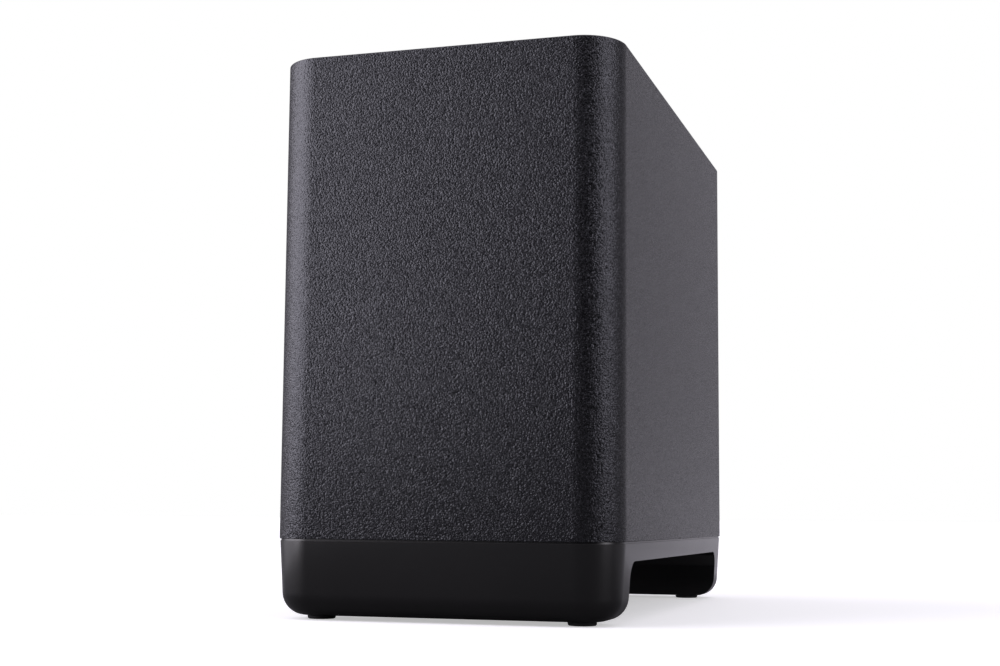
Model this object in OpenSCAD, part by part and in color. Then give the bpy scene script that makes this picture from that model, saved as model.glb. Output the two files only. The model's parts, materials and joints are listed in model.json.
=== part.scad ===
// Wireless down-firing subwoofer of a sound bar set.
// Origin: centre of the footprint on the floor. +Z up, the front faces -Y.

/* [Overall size] */
// Width across the cabinet sides
body_w = 229; // [222:1:250]
// Depth from the front to the back face
body_d = 414; // [400:1:460]
// Height of the cabinet above the seam
cabinet_h = 312; // [305:1:360]
// Height of the moulded plinth
plinth_h = 47.5; // [47:0.5:52]
// Height of the rubber feet below the plinth
foot_h = 2.5; // [2:0.5:5]
// Shadow gap between the plinth and the cabinet
seam_gap = 1; // [0.5:0.1:1.5]
// Radius of the four upright corners
corner_r = 28; // [26:0.5:32]

/* [Cabinet] */
// Thickness of the grained vinyl wrap
skin_t = 0.6; // [0.4:0.1:0.8]
// Thickness of the fibreboard walls and top
wall_t = 12; // [10:1:12]
// Thickness of the board that carries the driver
baffle_t = 15; // [15:1:18]
// Thickness of the cross brace
brace_t = 12; // [9:1:15]
// Distance of the brace's front face ahead of the cabinet's centre
brace_y = 76; // [70:1:90]
// Thickness of the wadding pads
wadding_t = 18; // [10:1:18]

/* [Plinth] */
// Wall thickness of the moulding
plinth_t = 3; // [2.5:0.5:3.5]
// Step of the plinth face behind the cabinet face
plinth_inset = 0.5; // [0.3:0.1:1]
// Draft of the plinth face over its straight part
plinth_draft = 2; // [1:0.1:3]
// Rounding of the plinth's lower edge
plinth_fillet = 15; // [12:0.5:16]
// Depth of the front leg along Y
front_leg = 45; // [43:1:50]
// Depth of the rear leg along Y
rear_leg = 42; // [41:1:50]
// Height of the side openings' ceiling above the plinth's underside
tunnel_h = 36.2; // [35:0.1:37]
// Rounding of the side openings' upper corners
tunnel_r = 12; // [8:1:16]
// Radius of the rubber feet
foot_r = 9; // [7:0.5:9.5]

/* [Driver] */
// Outer radius of the driver's mounting flange
flange_r = 90; // [88:1:91]
// Radius of the voice coil former, outside
coil_r = 25.4; // [25:0.1:26]
// Outer radius of the ferrite magnet
magnet_r = 55; // [52:1:56]
// Travel of the cone to each side of rest
cone_travel = 7; // [4:0.5:8]

/* [Amplifier] */
// Width of the rear amplifier plate
amp_w = 156; // [150:1:160]
// Height of the rear amplifier plate
amp_h = 190; // [186:1:192]
// Height of the plate's centre above the floor
amp_z = 165; // [163:1:166]
// Depth of the sealed amplifier chamber behind the plate
chamber_d = 61; // [58:1:66]
// Travel of the pairing button
button_travel = 0.8; // [0.5:0.1:1]

/* [Port] */
// Inner radius of the bass reflex port
port_r = 25; // [22:1:26]
// Length of the port tube
port_l = 130; // [90:5:150]
// Height of the port's centre above the floor
port_z = 309; // [308:1:310]

/* [Hidden] */
$fn = 64;

// Levels of the main seams, from the floor
plinth_top = foot_h + plinth_h;
cabinet_z = plinth_top + seam_gap;
total_h = cabinet_z + cabinet_h;

// Cabinet shell
wall_w = body_w - 2 * skin_t;
wall_d = body_d - 2 * skin_t;
wall_r = corner_r - skin_t;
inner_w = wall_w - 2 * wall_t;
inner_d = wall_d - 2 * wall_t;
inner_r = wall_r - wall_t;
inner_top = total_h - skin_t - wall_t;
baffle_top = cabinet_z + baffle_t;

// Plinth
plinth_w = body_w - 2 * plinth_inset;
plinth_d = body_d - 2 * plinth_inset;
plinth_r = corner_r - plinth_inset;
draft_a = atan(plinth_draft / (plinth_h - plinth_fillet));
tunnel_front = front_leg - body_d / 2;
tunnel_rear = body_d / 2 - rear_leg;
tunnel_z = foot_h + tunnel_h;
lip_inset = 2.5;
lip_w = 2.5;
lip_h = 4;
foot_x = body_w / 2 - corner_r;
foot_y = body_d / 2 - corner_r;
peg_r = 4;

// Screws
screw_r = 1.9;
screw_head_r = 3.5;
screw_head_h = 1.8;
plinth_screw_l = 20;
well_r = 7;
well_seat = 8;
boss_r = 6.5;
rail_seat = 3;
leg_screw_x = 35;
leg_screw_y = body_d / 2 - 26;
rail_screw_x = 95;
rail_screw_y = 112;

// Driver, measured up from its mounting face
gasket_t = 1;
driver_z = cabinet_z - gasket_t;
driver_hole_r = flange_r - 12;
collar_r = flange_r + 4;
collar_t = 3;
driver_screw_pcr = flange_r - 5.5;
driver_screw_n = 8;
driver_screw_l = 14;
flange_t = 3;
sheet_t = 1.8;
basket_fit = 1.5;
trim_gap = 0.5;
trim_t = 1.5;
surround_t = 0.8;
surround_lip_r = flange_r - 10.5;
surround_out_r = flange_r - 17.5;
surround_in_r = 58.1;
roll_r = (surround_out_r - surround_in_r) / 2;
roll_c = (surround_out_r + surround_in_r) / 2;
cone_t = 1;
cone_neck_z = 18.3;
cap_r = 28;
cap_rise = 8;
former_t = 0.4;
former_z = 16;
winding_t = 0.9;
pole_r = coil_r - former_t - 0.6;
plate_z = 48;
plate_t = 6;
plate_bore = coil_r + winding_t + 0.7;
plate_r = 50;
magnet_t = 16;
magnet_bore = 31;
yoke_t = 6;
vent_r = 6;
winding_l = plate_t + 2 * cone_travel;
winding_z = plate_z + plate_t / 2 - winding_l / 2;
winding_top = winding_z + winding_l;
ledge_z = 29.2;
ledge_in_r = 55.2;
ledge_out_r = 62.5;
neck_r = 53.5;
window_n = 6;
window_a = 38;
spider_t = 0.6;
spider_waves = 5;
spider_wave_h = 1.6;
spider_out_r = 61;
terminal_y = 60;
terminal_z = 40;
tag_h = 6;
lead_r = 0.6;

// Amplifier, measured from the centre of its plate's outer face
amp_t = 3;
amp_recess = 2;
amp_y = body_d / 2 - amp_recess;
amp_r = 6;
fit_gap = 0.3;
amp_gasket_t = 1;
ledge_w = 10;
cutout_w = amp_w - 2 * ledge_w;
cutout_h = amp_h - 2 * ledge_w;
rebate_d = amp_recess + amp_t + amp_gasket_t;
amp_screw_l = 9;
chamber_w = cutout_w - 2;
chamber_h = cutout_h - 2;
chamber_t = 2.5;
chamber_back = -amp_t - chamber_d;
chamber_screw_x = chamber_w / 2 - 7;
chamber_screw_z = chamber_h / 2 - 7;
chamber_screw_l = 15;
board_t = 1.6;
board_w = 106;
board_h = 144;
board_face = -21.4;
board_back = board_face - board_t;
standoff_x = board_w / 2 - 5;
standoff_z = board_h / 2 - 5;
standoff_r = 3;
board_screw_r = 1.5;
controls_z = -60;
inlet_x = -28;
button_x = 26;
led_x = 41;
pipe_r = 1.5;
pipe_proud = 0.3;
led_h = 0.8;

// Amplifier chip on its board
chip_at = [28, 20, 0];
chip_top = 5.2;

// Transformer on the amplifier board
transformer_at = [-26, -12, board_back];
core_half = 17;
core_h = 26;
core_rise = 1;
core_post = 6;
coil_half = 11;
coil_h = 14;

// AC inlet, two pins
inlet_body_w = 22;
inlet_body_h = 14;
inlet_body_l = 18;
inlet_flange_w = 30;
inlet_flange_h = 18;
inlet_flange_t = 1.2;
inlet_slot_r = 4.3;
inlet_slot_c = 3.5;
inlet_depth = 12;
pin_r = 1.2;
pin_c = 4.3;

// Pairing button and its switch
button_r = 3.5;
button_proud = 0.9;
button_collar_r = 4.8;
button_collar_t = 1.1;
switch_h = 3.6;
switch_w = 6.4;
plunger_r = 1.6;
plunger_h = 1.4;
plunger_in = 1;

// Loudspeaker cable
wire_r = 1.1;
wire_x = 4.5;
wire_z = 112;
wire_bend = 10;
connector_h = 8;
gland_r = 7;
gland_lip = 2;
gland_lip_t = 1.5;

// Port
port_t = 2.5;
port_lip = 9;
port_flange_r = port_r + port_lip + 4;
port_flange_t = 2.5;
port_hole_r = port_r + port_lip + 0.5;
port_wall = 5.5;
port_slip = 0.1;
port_socket = 14;
port_socket_l = 10;
port_back = body_d / 2;

// ---------- helpers ----------

// Rounded rectangle about the origin, with true arcs at the corners
module rounded(w, d, r) {
    square([w - 2 * r, d], center = true);
    square([w, d - 2 * r], center = true);
    for (x = [-1, 1], y = [-1, 1])
        translate([x * (w / 2 - r), y * (d / 2 - r)])
            circle(r, $fn = 96);
}

// Upright prism of a rounded rectangle between two levels
module slab(w, d, r, z0, z1) {
    translate([0, 0, z0])
        linear_extrude(z1 - z0)
            rounded(w, d, r);
}

// Ring about the Z axis between two levels
module ring(r_in, r_out, z0, z1) {
    difference() {
        translate([0, 0, z0])
            cylinder(h = z1 - z0, r = r_out, $fn = 128);
        translate([0, 0, z0 - 1])
            cylinder(h = z1 - z0 + 2, r = r_in, $fn = 128);
    }
}

// Box given by its two opposite corners
module block(lo, hi) {
    translate(lo)
        cube(hi - lo);
}

// Straight round rod between two points
module rod(a, b, r) {
    v = b - a;
    l = norm(v);
    translate(a)
        rotate([0, acos(v[2] / l), atan2(v[1], v[0])])
            cylinder(h = l, r = r, $fn = 24);
}

// Pan head screw with a cross recess: seat at the origin, point down -Z
module screw(l) {
    difference() {
        union() {
            cylinder(h = screw_head_h, r = screw_head_r, $fn = 48);
            translate([0, 0, 2 - l])
                cylinder(h = l - 2, r = screw_r, $fn = 32);
            translate([0, 0, -l])
                cylinder(h = 2, r1 = 0.3, r2 = screw_r, $fn = 32);
        }
        for (a = [0, 90])
            rotate(a)
                translate([-2, -0.4, screw_head_h - 1])
                    cube([4, 0.8, 2]);
    }
}

// Places children at each [x, y] of a list
module at_each(points) {
    for (p = points)
        translate([p[0], p[1], 0])
            children();
}

// Places children on the back of the cabinet: local X stays, local Y is the height, local Z points out
module on_back(y, z) {
    translate([0, y, z])
        rotate([90, 0, 180])
            mirror([1, 0, 0])
                children();
}

function four(x, y) = [[-x, -y], [x, -y], [-x, y], [x, y]];
function around(n, r, a0) = [for (i = [0 : n - 1]) [r * cos(a0 + i * 360 / n), r * sin(a0 + i * 360 / n)]];

leg_screws = four(leg_screw_x, leg_screw_y);
rail_screws = four(rail_screw_x, rail_screw_y);
driver_screw_at = around(driver_screw_n, driver_screw_pcr, 22.5);
amp_screw_x = amp_w / 2 - ledge_w / 2;
amp_screw_z = amp_h / 2 - ledge_w / 2;
amp_screw_at = concat(
    four(amp_screw_x, amp_screw_z),
    four(amp_screw_x, amp_screw_z / 3),
    [[0, -amp_screw_z], [0, amp_screw_z]]
);
chamber_screw_at = four(chamber_screw_x, chamber_screw_z);
standoff_at = four(standoff_x, standoff_z);

// ---------- cabinet ----------

// Opening for the amplifier plate and the port flange, cut into the back to a depth
module back_rebates() {
    on_back(body_d / 2 - rebate_d, amp_z)
        linear_extrude(rebate_d + 1)
            rounded(amp_w + 2 * fit_gap, amp_h + 2 * fit_gap, amp_r + fit_gap);
    on_back(port_back - port_flange_t, port_z)
        cylinder(h = port_flange_t + 1, r = port_flange_r + fit_gap, $fn = 96);
}

module textured_wrap() {
    color([0.12, 0.12, 0.13])
        difference() {
            slab(body_w, body_d, corner_r, cabinet_z, total_h);
            slab(wall_w, wall_d, wall_r, cabinet_z - 1, total_h - skin_t);
            back_rebates();
        }
}

module cabinet_walls() {
    cut_from = body_d / 2 - wall_t - 18;
    cut_l = 40;
    color([0.62, 0.47, 0.31])
        difference() {
            slab(wall_w, wall_d, wall_r, cabinet_z, total_h - skin_t);
            slab(inner_w, inner_d, inner_r, cabinet_z - 1, total_h);
            back_rebates();
            on_back(cut_from, amp_z)
                linear_extrude(cut_l)
                    rounded(cutout_w, cutout_h, amp_r - 2);
            on_back(cut_from, port_z)
                cylinder(h = cut_l, r = port_hole_r, $fn = 96);
            on_back(amp_y, amp_z)
                at_each(amp_screw_at)
                    translate([0, 0, -amp_screw_l - 1])
                        cylinder(h = amp_screw_l, r = screw_r, $fn = 32);
        }
}

module top_panel() {
    color([0.64, 0.49, 0.33])
        slab(inner_w, inner_d, inner_r, inner_top, total_h - skin_t);
}

module bottom_baffle() {
    color([0.60, 0.45, 0.30])
        difference() {
            slab(inner_w, inner_d, inner_r, cabinet_z, baffle_top);
            translate([0, 0, cabinet_z - 1])
                cylinder(h = baffle_t + 2, r = driver_hole_r, $fn = 128);
            translate([0, 0, cabinet_z - 1])
                at_each(concat(driver_screw_at, leg_screws, rail_screws))
                    cylinder(h = baffle_t - 2, r = screw_r, $fn = 32);
        }
}

module brace_panel() {
    brace_z = amp_z;
    brace_h = inner_top - brace_z;
    rail_w = 34;
    window_r = 15;
    color([0.66, 0.51, 0.35])
        translate([0, brace_t - brace_y, brace_z + brace_h / 2])
            rotate([90, 0, 0])
                linear_extrude(brace_t)
                    difference() {
                        square([inner_w, brace_h], center = true);
                        rounded(inner_w - 2 * rail_w, brace_h - 2 * rail_w, window_r);
                    }
}

// Pad of polyester wadding with rounded upright edges, clear of the baffle and of the top
module wadding(w, d, clear_low, clear_high) {
    color([0.86, 0.86, 0.83])
        slab(w, d, wadding_t / 3, baffle_top + clear_low, inner_top - clear_high);
}

module wadding_front() {
    clear_side = 17;
    translate([0, wadding_t / 2 - inner_d / 2 + fit_gap, 0])
        wadding(inner_w - 2 * clear_side, wadding_t, 14, 20);
}

module wadding_side(side) {
    pad_l = 160;
    pad_y = 40;
    translate([side * (inner_w / 2 - wadding_t / 2 - fit_gap), pad_y, 0])
        wadding(wadding_t, pad_l, 24, 50);
}

module wadding_left() { wadding_side(-1); }

module wadding_right() { wadding_side(1); }

// ---------- plinth ----------

// Upright profile of the plinth's edge, from the corner centre outwards, thinned by t
module edge_profile(t) {
    fr = plinth_fillet - t;
    cz = foot_h + plinth_fillet;
    straight_h = plinth_top - cz + plinth_fillet * sin(draft_a);
    cx = plinth_r - straight_h * tan(draft_a) - plinth_fillet * cos(draft_a);
    top_z = t > 0 ? plinth_top + 1 : plinth_top;
    top_x = plinth_r - t / cos(draft_a) + (top_z - plinth_top) * tan(draft_a);
    polygon([
        [0, foot_h + t], [cx, foot_h + t], [cx, cz],
        [cx + fr * cos(draft_a), cz - fr * sin(draft_a)],
        [top_x, top_z], [0, top_z]
    ]);
    intersection() {
        translate([cx, cz])
            circle(fr, $fn = 96);
        translate([cx, foot_h + t])
            square([fr, fr]);
    }
}

// Both edges of a bar whose corner centres are 2 * half apart
module bar_profile(half, t) {
    for (s = [0, 1])
        mirror([s, 0])
            translate([half, 0])
                edge_profile(t);
    top_z = t > 0 ? plinth_top + 1 : plinth_top;
    translate([-half, foot_h + t])
        square([2 * half, top_z - foot_h - t]);
}

// Solid block of the plinth's outline, thinned by t all round
module plinth_mass(t) {
    half_x = plinth_w / 2 - plinth_r;
    half_y = plinth_d / 2 - plinth_r;
    translate([0, half_y, 0])
        rotate([90, 0, 0])
            linear_extrude(2 * half_y)
                bar_profile(half_x, t);
    for (s = [-1, 1])
        translate([-half_x, s * half_y, 0])
            rotate([90, 0, s * 90])
                mirror([s < 0 ? 1 : 0, 0, 0])
                    translate([0, 0, s < 0 ? -2 * half_x : 0])
                        linear_extrude(2 * half_x)
                            mirror([s < 0 ? 1 : 0, 0])
                                edge_profile(t);
    for (i = [0 : 3])
        translate([(i == 0 || i == 3 ? 1 : -1) * half_x, (i < 2 ? 1 : -1) * half_y, 0])
            rotate(i * 90)
                rotate_extrude(angle = 90, $fn = 96)
                    edge_profile(t);
}

// Side-to-side block of the openings' outline, grown by t
module tunnel_block(t) {
    r = tunnel_r + t;
    lo = tunnel_front - t;
    hi = tunnel_rear + t;
    top = tunnel_z + t;
    translate([-body_w, 0, 0])
        rotate([90, 0, 90])
            linear_extrude(2 * body_w) {
                translate([lo, -1])
                    square([hi - lo, top - r + 1]);
                translate([lo + r, -1])
                    square([hi - lo - 2 * r, top + 1]);
                for (y = [lo + r, hi - r])
                    translate([y, top - r])
                        circle(r, $fn = 96);
            }
}

module plinth() {
    color([0.10, 0.10, 0.11])
        difference() {
            union() {
                difference() {
                    plinth_mass(0);
                    difference() {
                        plinth_mass(plinth_t);
                        tunnel_block(plinth_t);
                    }
                }
                difference() {
                    slab(body_w - 2 * lip_inset, body_d - 2 * lip_inset, corner_r - lip_inset,
                        cabinet_z - lip_h, cabinet_z);
                    slab(body_w - 2 * (lip_inset + lip_w), body_d - 2 * (lip_inset + lip_w),
                        corner_r - lip_inset - lip_w, cabinet_z - lip_h - 1, cabinet_z + 1);
                }
                ring(collar_r, collar_r + collar_t, tunnel_z, cabinet_z);
                translate([0, 0, foot_h])
                    at_each(leg_screws)
                        cylinder(h = cabinet_z - foot_h, r = well_r, $fn = 64);
                translate([0, 0, tunnel_z])
                    at_each(rail_screws)
                        cylinder(h = cabinet_z - tunnel_z, r = boss_r, $fn = 48);
            }
            tunnel_block(0);
            translate([0, 0, tunnel_z - 1])
                cylinder(h = plinth_h, r = collar_r, $fn = 128);
            translate([0, 0, foot_h - 1])
                at_each(leg_screws)
                    cylinder(h = cabinet_z - well_seat - foot_h + 1, r = screw_head_r + 1, $fn = 48);
            translate([0, 0, tunnel_z - 1])
                at_each(rail_screws)
                    cylinder(h = rail_seat + 1, r = screw_head_r + 1, $fn = 48);
            translate([0, 0, foot_h])
                at_each(concat(leg_screws, rail_screws))
                    cylinder(h = cabinet_z, r = screw_r + fit_gap, $fn = 32);
            translate([0, 0, foot_h - 1])
                at_each(four(foot_x, foot_y))
                    cylinder(h = plinth_t + 2, r = peg_r, $fn = 48);
        }
}

module plinth_screws() {
    color([0.30, 0.30, 0.31]) {
        translate([0, 0, cabinet_z - well_seat])
            at_each(leg_screws)
                mirror([0, 0, 1])
                    screw(plinth_screw_l);
        translate([0, 0, tunnel_z + rail_seat])
            at_each(rail_screws)
                mirror([0, 0, 1])
                    screw(plinth_screw_l);
    }
}

// Push-in rubber foot
module foot(sx, sy) {
    edge = 1;
    barb = 1;
    barb_h = 2.5;
    color([0.07, 0.07, 0.07])
        translate([sx * foot_x, sy * foot_y, 0])
            rotate_extrude($fn = 96) {
                square([foot_r - edge, foot_h]);
                translate([0, edge])
                    square([foot_r, foot_h - edge]);
                intersection() {
                    translate([foot_r - edge, edge])
                        circle(edge, $fn = 48);
                    translate([foot_r - edge, 0])
                        square([edge, edge]);
                }
                translate([0, foot_h])
                    square([peg_r, plinth_t]);
                translate([0, foot_h + plinth_t])
                    polygon([[0, 0], [peg_r + barb, 0], [peg_r - barb / 2, barb_h], [0, barb_h]]);
            }
}

module foot_front_left() { foot(-1, -1); }

module foot_front_right() { foot(1, -1); }

module foot_rear_left() { foot(-1, 1); }

module foot_rear_right() { foot(1, 1); }

// ---------- driver ----------

module driver_basket() {
    wall_in = driver_hole_r - 4.4;
    lip_in = surround_out_r - 0.5;
    neck_in = neck_r - sheet_t;
    seat_r = plate_bore + 3;
    window_z = 5;
    window_top = ledge_z - 3;
    neck_window_z = ledge_z + 6;
    neck_window_top = plate_z - 3.5;
    color([0.20, 0.20, 0.21])
        translate([0, 0, driver_z])
            difference() {
                rotate_extrude($fn = 128)
                    polygon([
                        [lip_in, -flange_t], [flange_r, -flange_t], [flange_r, 0],
                        [driver_hole_r - basket_fit, 0],
                        [ledge_out_r + basket_fit, ledge_z + sheet_t],
                        [ledge_in_r + sheet_t / 2, ledge_z + sheet_t],
                        [neck_r, ledge_z + 2.5 * sheet_t], [neck_r, plate_z],
                        [seat_r, plate_z], [seat_r, plate_z - sheet_t],
                        [neck_in, plate_z - sheet_t], [neck_in, ledge_z + 1.8 * sheet_t],
                        [ledge_in_r, ledge_z], [ledge_out_r, ledge_z],
                        [wall_in, 0], [lip_in, 0]
                    ]);
                for (i = [0 : window_n - 1])
                    rotate(i * 360 / window_n + 90 + (360 / window_n - window_a) / 2) {
                        rotate_extrude(angle = window_a, $fn = 96)
                            translate([ledge_out_r - basket_fit, window_z])
                                square([flange_r - ledge_out_r, window_top - window_z]);
                        rotate_extrude(angle = window_a, $fn = 96)
                            translate([neck_in - 5, neck_window_z])
                                square([sheet_t + 10, neck_window_top - neck_window_z]);
                    }
                translate([0, 0, -flange_t - 1])
                    at_each(driver_screw_at)
                        cylinder(h = flange_t + 2, r = screw_r + fit_gap, $fn = 32);
            }
}

module driver_gasket() {
    color([0.08, 0.08, 0.08])
        translate([0, 0, driver_z])
            difference() {
                ring(driver_hole_r + trim_gap, flange_r - trim_gap, 0, gasket_t);
                translate([0, 0, -1])
                    at_each(driver_screw_at)
                        cylinder(h = gasket_t + 2, r = screw_r + fit_gap, $fn = 32);
            }
}

module trim_ring() {
    color([0.09, 0.09, 0.10])
        translate([0, 0, driver_z])
            ring(surround_out_r + trim_gap, surround_lip_r + trim_gap,
                -flange_t - surround_t - trim_t, -flange_t - surround_t);
}

module surround() {
    lip_z = -flange_t - surround_t;
    mid_z = lip_z + surround_t / 2;
    join = 0.1;
    glue_w = 5;
    above = 2 * roll_r;
    color([0.06, 0.06, 0.06])
        translate([0, 0, driver_z])
            rotate_extrude($fn = 128) {
                translate([surround_out_r - join, lip_z])
                    square([surround_lip_r - surround_out_r + join, surround_t]);
                translate([surround_in_r - glue_w, lip_z])
                    square([glue_w + join, surround_t]);
                difference() {
                    translate([roll_c, mid_z])
                        circle(roll_r + surround_t / 2, $fn = 96);
                    translate([roll_c, mid_z])
                        circle(roll_r - surround_t / 2, $fn = 96);
                    translate([roll_c - above, mid_z])
                        square([2 * above, above]);
                }
            }
}

module cone() {
    rim_in = surround_in_r - 4.6;
    rim_out = surround_in_r - 0.1;
    slope = (cone_neck_z + flange_t) / (rim_in - coil_r);
    thick = 0.6;
    color([0.13, 0.13, 0.14])
        translate([0, 0, driver_z])
            rotate_extrude($fn = 128)
                polygon([
                    [rim_out, -flange_t], [rim_out, cone_t - flange_t],
                    [rim_in + thick, cone_t - flange_t],
                    [coil_r, cone_neck_z + thick * slope + cone_t], [coil_r, cone_neck_z],
                    [rim_in, -flange_t]
                ]);
}

module dust_cap() {
    cone_slope = (cone_neck_z + flange_t) / (surround_in_r - 4.6 - coil_r);
    cap_edge_z = cone_neck_z - (cap_r - coil_r) * cone_slope - 0.2;
    ball_r = (cap_r * cap_r + cap_rise * cap_rise) / (2 * cap_rise);
    cap_t = 0.8;
    color([0.11, 0.11, 0.12])
        translate([0, 0, driver_z + cap_edge_z - cap_rise])
            intersection() {
                difference() {
                    translate([0, 0, ball_r])
                        sphere(ball_r, $fn = 128);
                    translate([0, 0, ball_r])
                        sphere(ball_r - cap_t, $fn = 128);
                }
                translate([0, 0, -1])
                    cylinder(h = cap_rise + 1, r = cap_r + 1, $fn = 128);
            }
}

module voice_coil_former() {
    color([0.70, 0.52, 0.25])
        translate([0, 0, driver_z])
            ring(coil_r - former_t, coil_r, former_z, winding_top);
}

module voice_coil_winding() {
    color([0.72, 0.38, 0.18])
        translate([0, 0, driver_z])
            ring(coil_r, coil_r + winding_t, winding_z, winding_top);
}

// Corrugated centring disc
module spider() {
    steps = 48;
    mid_z = ledge_z - spider_t / 2;
    wave_in = coil_r + 2;
    wave_out = ledge_in_r;
    function wave(i) = spider_wave_h * sin(i / steps * spider_waves * 360);
    function radius(i) = wave_in + (wave_out - wave_in) * i / steps;
    color([0.75, 0.62, 0.35])
        translate([0, 0, driver_z])
            rotate_extrude($fn = 128)
                polygon(concat(
                    [[coil_r, mid_z - spider_t / 2]],
                    [for (i = [0 : steps]) [radius(i), mid_z - spider_t / 2 + wave(i)]],
                    [[spider_out_r, mid_z - spider_t / 2], [spider_out_r, mid_z + spider_t / 2]],
                    [for (i = [steps : -1 : 0]) [radius(i), mid_z + spider_t / 2 + wave(i)]],
                    [[coil_r, mid_z + spider_t / 2]]
                ));
}

module top_plate() {
    color([0.55, 0.56, 0.58])
        translate([0, 0, driver_z])
            ring(plate_bore, plate_r, plate_z, plate_z + plate_t);
}

module ferrite_magnet() {
    color([0.18, 0.18, 0.19])
        translate([0, 0, driver_z])
            ring(magnet_bore, magnet_r, plate_z + plate_t, plate_z + plate_t + magnet_t);
}

module pole_yoke() {
    yoke_z = plate_z + plate_t + magnet_t;
    color([0.58, 0.59, 0.61])
        translate([0, 0, driver_z])
            difference() {
                union() {
                    translate([0, 0, plate_z])
                        cylinder(h = yoke_z - plate_z + 1, r = pole_r, $fn = 128);
                    translate([0, 0, yoke_z])
                        cylinder(h = yoke_t, r = plate_r, $fn = 128);
                }
                translate([0, 0, plate_z - 1])
                    cylinder(h = yoke_z + yoke_t, r = vent_r, $fn = 64);
            }
}

// Tag board on the basket's neck
module driver_terminal() {
    board_half = 9;
    board_h = 4;
    tag_half = 1.6;
    tag_t = 0.8;
    color([0.72, 0.66, 0.48])
        translate([0, 0, driver_z]) {
            difference() {
                block([-board_half, neck_r - 1, terminal_z - board_h],
                    [board_half, terminal_y + 3, terminal_z]);
                translate([0, 0, terminal_z - board_h - 1])
                    cylinder(h = board_h + 2, r = neck_r, $fn = 128);
            }
            for (x = [-wire_x, wire_x])
                block([x - tag_half, terminal_y - tag_t / 2, terminal_z],
                    [x + tag_half, terminal_y + tag_t / 2, terminal_z + tag_h]);
        }
}

// Braided leads from the tag board to the voice coil
module tinsel_leads() {
    side = 9;
    route = [
        [side, terminal_y - 3, terminal_z - 2],
        [side + 4, terminal_y - 3, terminal_z - 2],
        [side + 6, neck_r - 12, terminal_z - 1],
        [side - 2, coil_r + 0.4, terminal_z - 3]
    ];
    color([0.75, 0.55, 0.35])
        translate([0, 0, driver_z])
            for (s = [0, 1])
                mirror([s, 0, 0]) {
                    for (i = [0 : len(route) - 2])
                        rod(route[i], route[i + 1], lead_r);
                    for (i = [1 : len(route) - 2])
                        translate(route[i])
                            sphere(1.25 * lead_r, $fn = 24);
                }
}

module driver_screws() {
    color([0.25, 0.25, 0.26])
        translate([0, 0, driver_z - flange_t])
            at_each(driver_screw_at)
                mirror([0, 0, 1])
                    screw(driver_screw_l);
}

// ---------- port ----------

// Trumpet mouth with its flange, let into the back
module port_flare() {
    color([0.09, 0.09, 0.10])
        on_back(port_back, port_z)
            mirror([0, 0, 1])
                rotate_extrude($fn = 128) {
                    translate([port_r + port_lip, 0])
                        square([port_flange_r - port_r - port_lip, port_flange_t]);
                    intersection() {
                        translate([port_r + port_lip, port_lip])
                            circle(port_lip, $fn = 96);
                        translate([port_r, 0])
                            square([port_lip, port_lip]);
                    }
                    translate([port_r, port_lip])
                        square([port_wall, port_socket - port_lip]);
                    translate([port_r + port_t + port_slip, port_socket])
                        square([port_wall - port_t - port_slip, port_socket_l]);
                }
}

// Port tube with a rounded inner mouth
module port_tube() {
    bell = 6;
    color([0.14, 0.14, 0.15])
        on_back(port_back, port_z)
            mirror([0, 0, 1])
                rotate_extrude($fn = 128) {
                    translate([port_r, port_socket])
                        square([port_t, port_l - bell]);
                    intersection() {
                        translate([port_r + bell, port_socket + port_l - bell])
                            circle(bell, $fn = 64);
                        translate([port_r, port_socket + port_l - bell])
                            square([bell, bell]);
                    }
                }
}

// ---------- amplifier ----------

module amp_plate() {
    rib_n = 11;
    rib_step = 10;
    rib_w = 1.6;
    rib_l = 80;
    rib_h = 1.2;
    rib_y = 35;
    color([0.10, 0.10, 0.11])
        on_back(amp_y, amp_z)
            difference() {
                union() {
                    translate([0, 0, -amp_t])
                        linear_extrude(amp_t)
                            rounded(amp_w, amp_h, amp_r);
                    for (i = [0 : rib_n - 1])
                        translate([(i - (rib_n - 1) / 2) * rib_step, rib_y, 0])
                            linear_extrude(rib_h)
                                rounded(rib_w, rib_l, rib_w / 2 - 0.1);
                }
                translate([0, 0, -amp_t - 1]) {
                    at_each(amp_screw_at)
                        cylinder(h = amp_t + 2, r = screw_r + fit_gap, $fn = 32);
                    at_each(chamber_screw_at)
                        cylinder(h = amp_t + 2, r = screw_r + fit_gap, $fn = 32);
                    translate([inlet_x, controls_z])
                        linear_extrude(amp_t + 2)
                            square([inlet_body_w, inlet_body_h], center = true);
                    translate([button_x, controls_z])
                        cylinder(h = amp_t + 2, r = button_r + fit_gap, $fn = 48);
                    translate([led_x, controls_z])
                        cylinder(h = amp_t + 2, r = pipe_r, $fn = 32);
                }
            }
}

module amp_gasket() {
    color([0.07, 0.07, 0.07])
        on_back(amp_y - amp_t - amp_gasket_t, amp_z)
            linear_extrude(amp_gasket_t)
                difference() {
                    rounded(amp_w - 1, amp_h - 1, amp_r - 0.5);
                    rounded(cutout_w + 1, cutout_h + 1, amp_r - 1.5);
                    at_each(amp_screw_at)
                        circle(screw_r + fit_gap, $fn = 32);
                }
}

module amp_screws() {
    color([0.22, 0.22, 0.23])
        on_back(amp_y, amp_z)
            at_each(amp_screw_at)
                screw(amp_screw_l);
}

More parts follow.
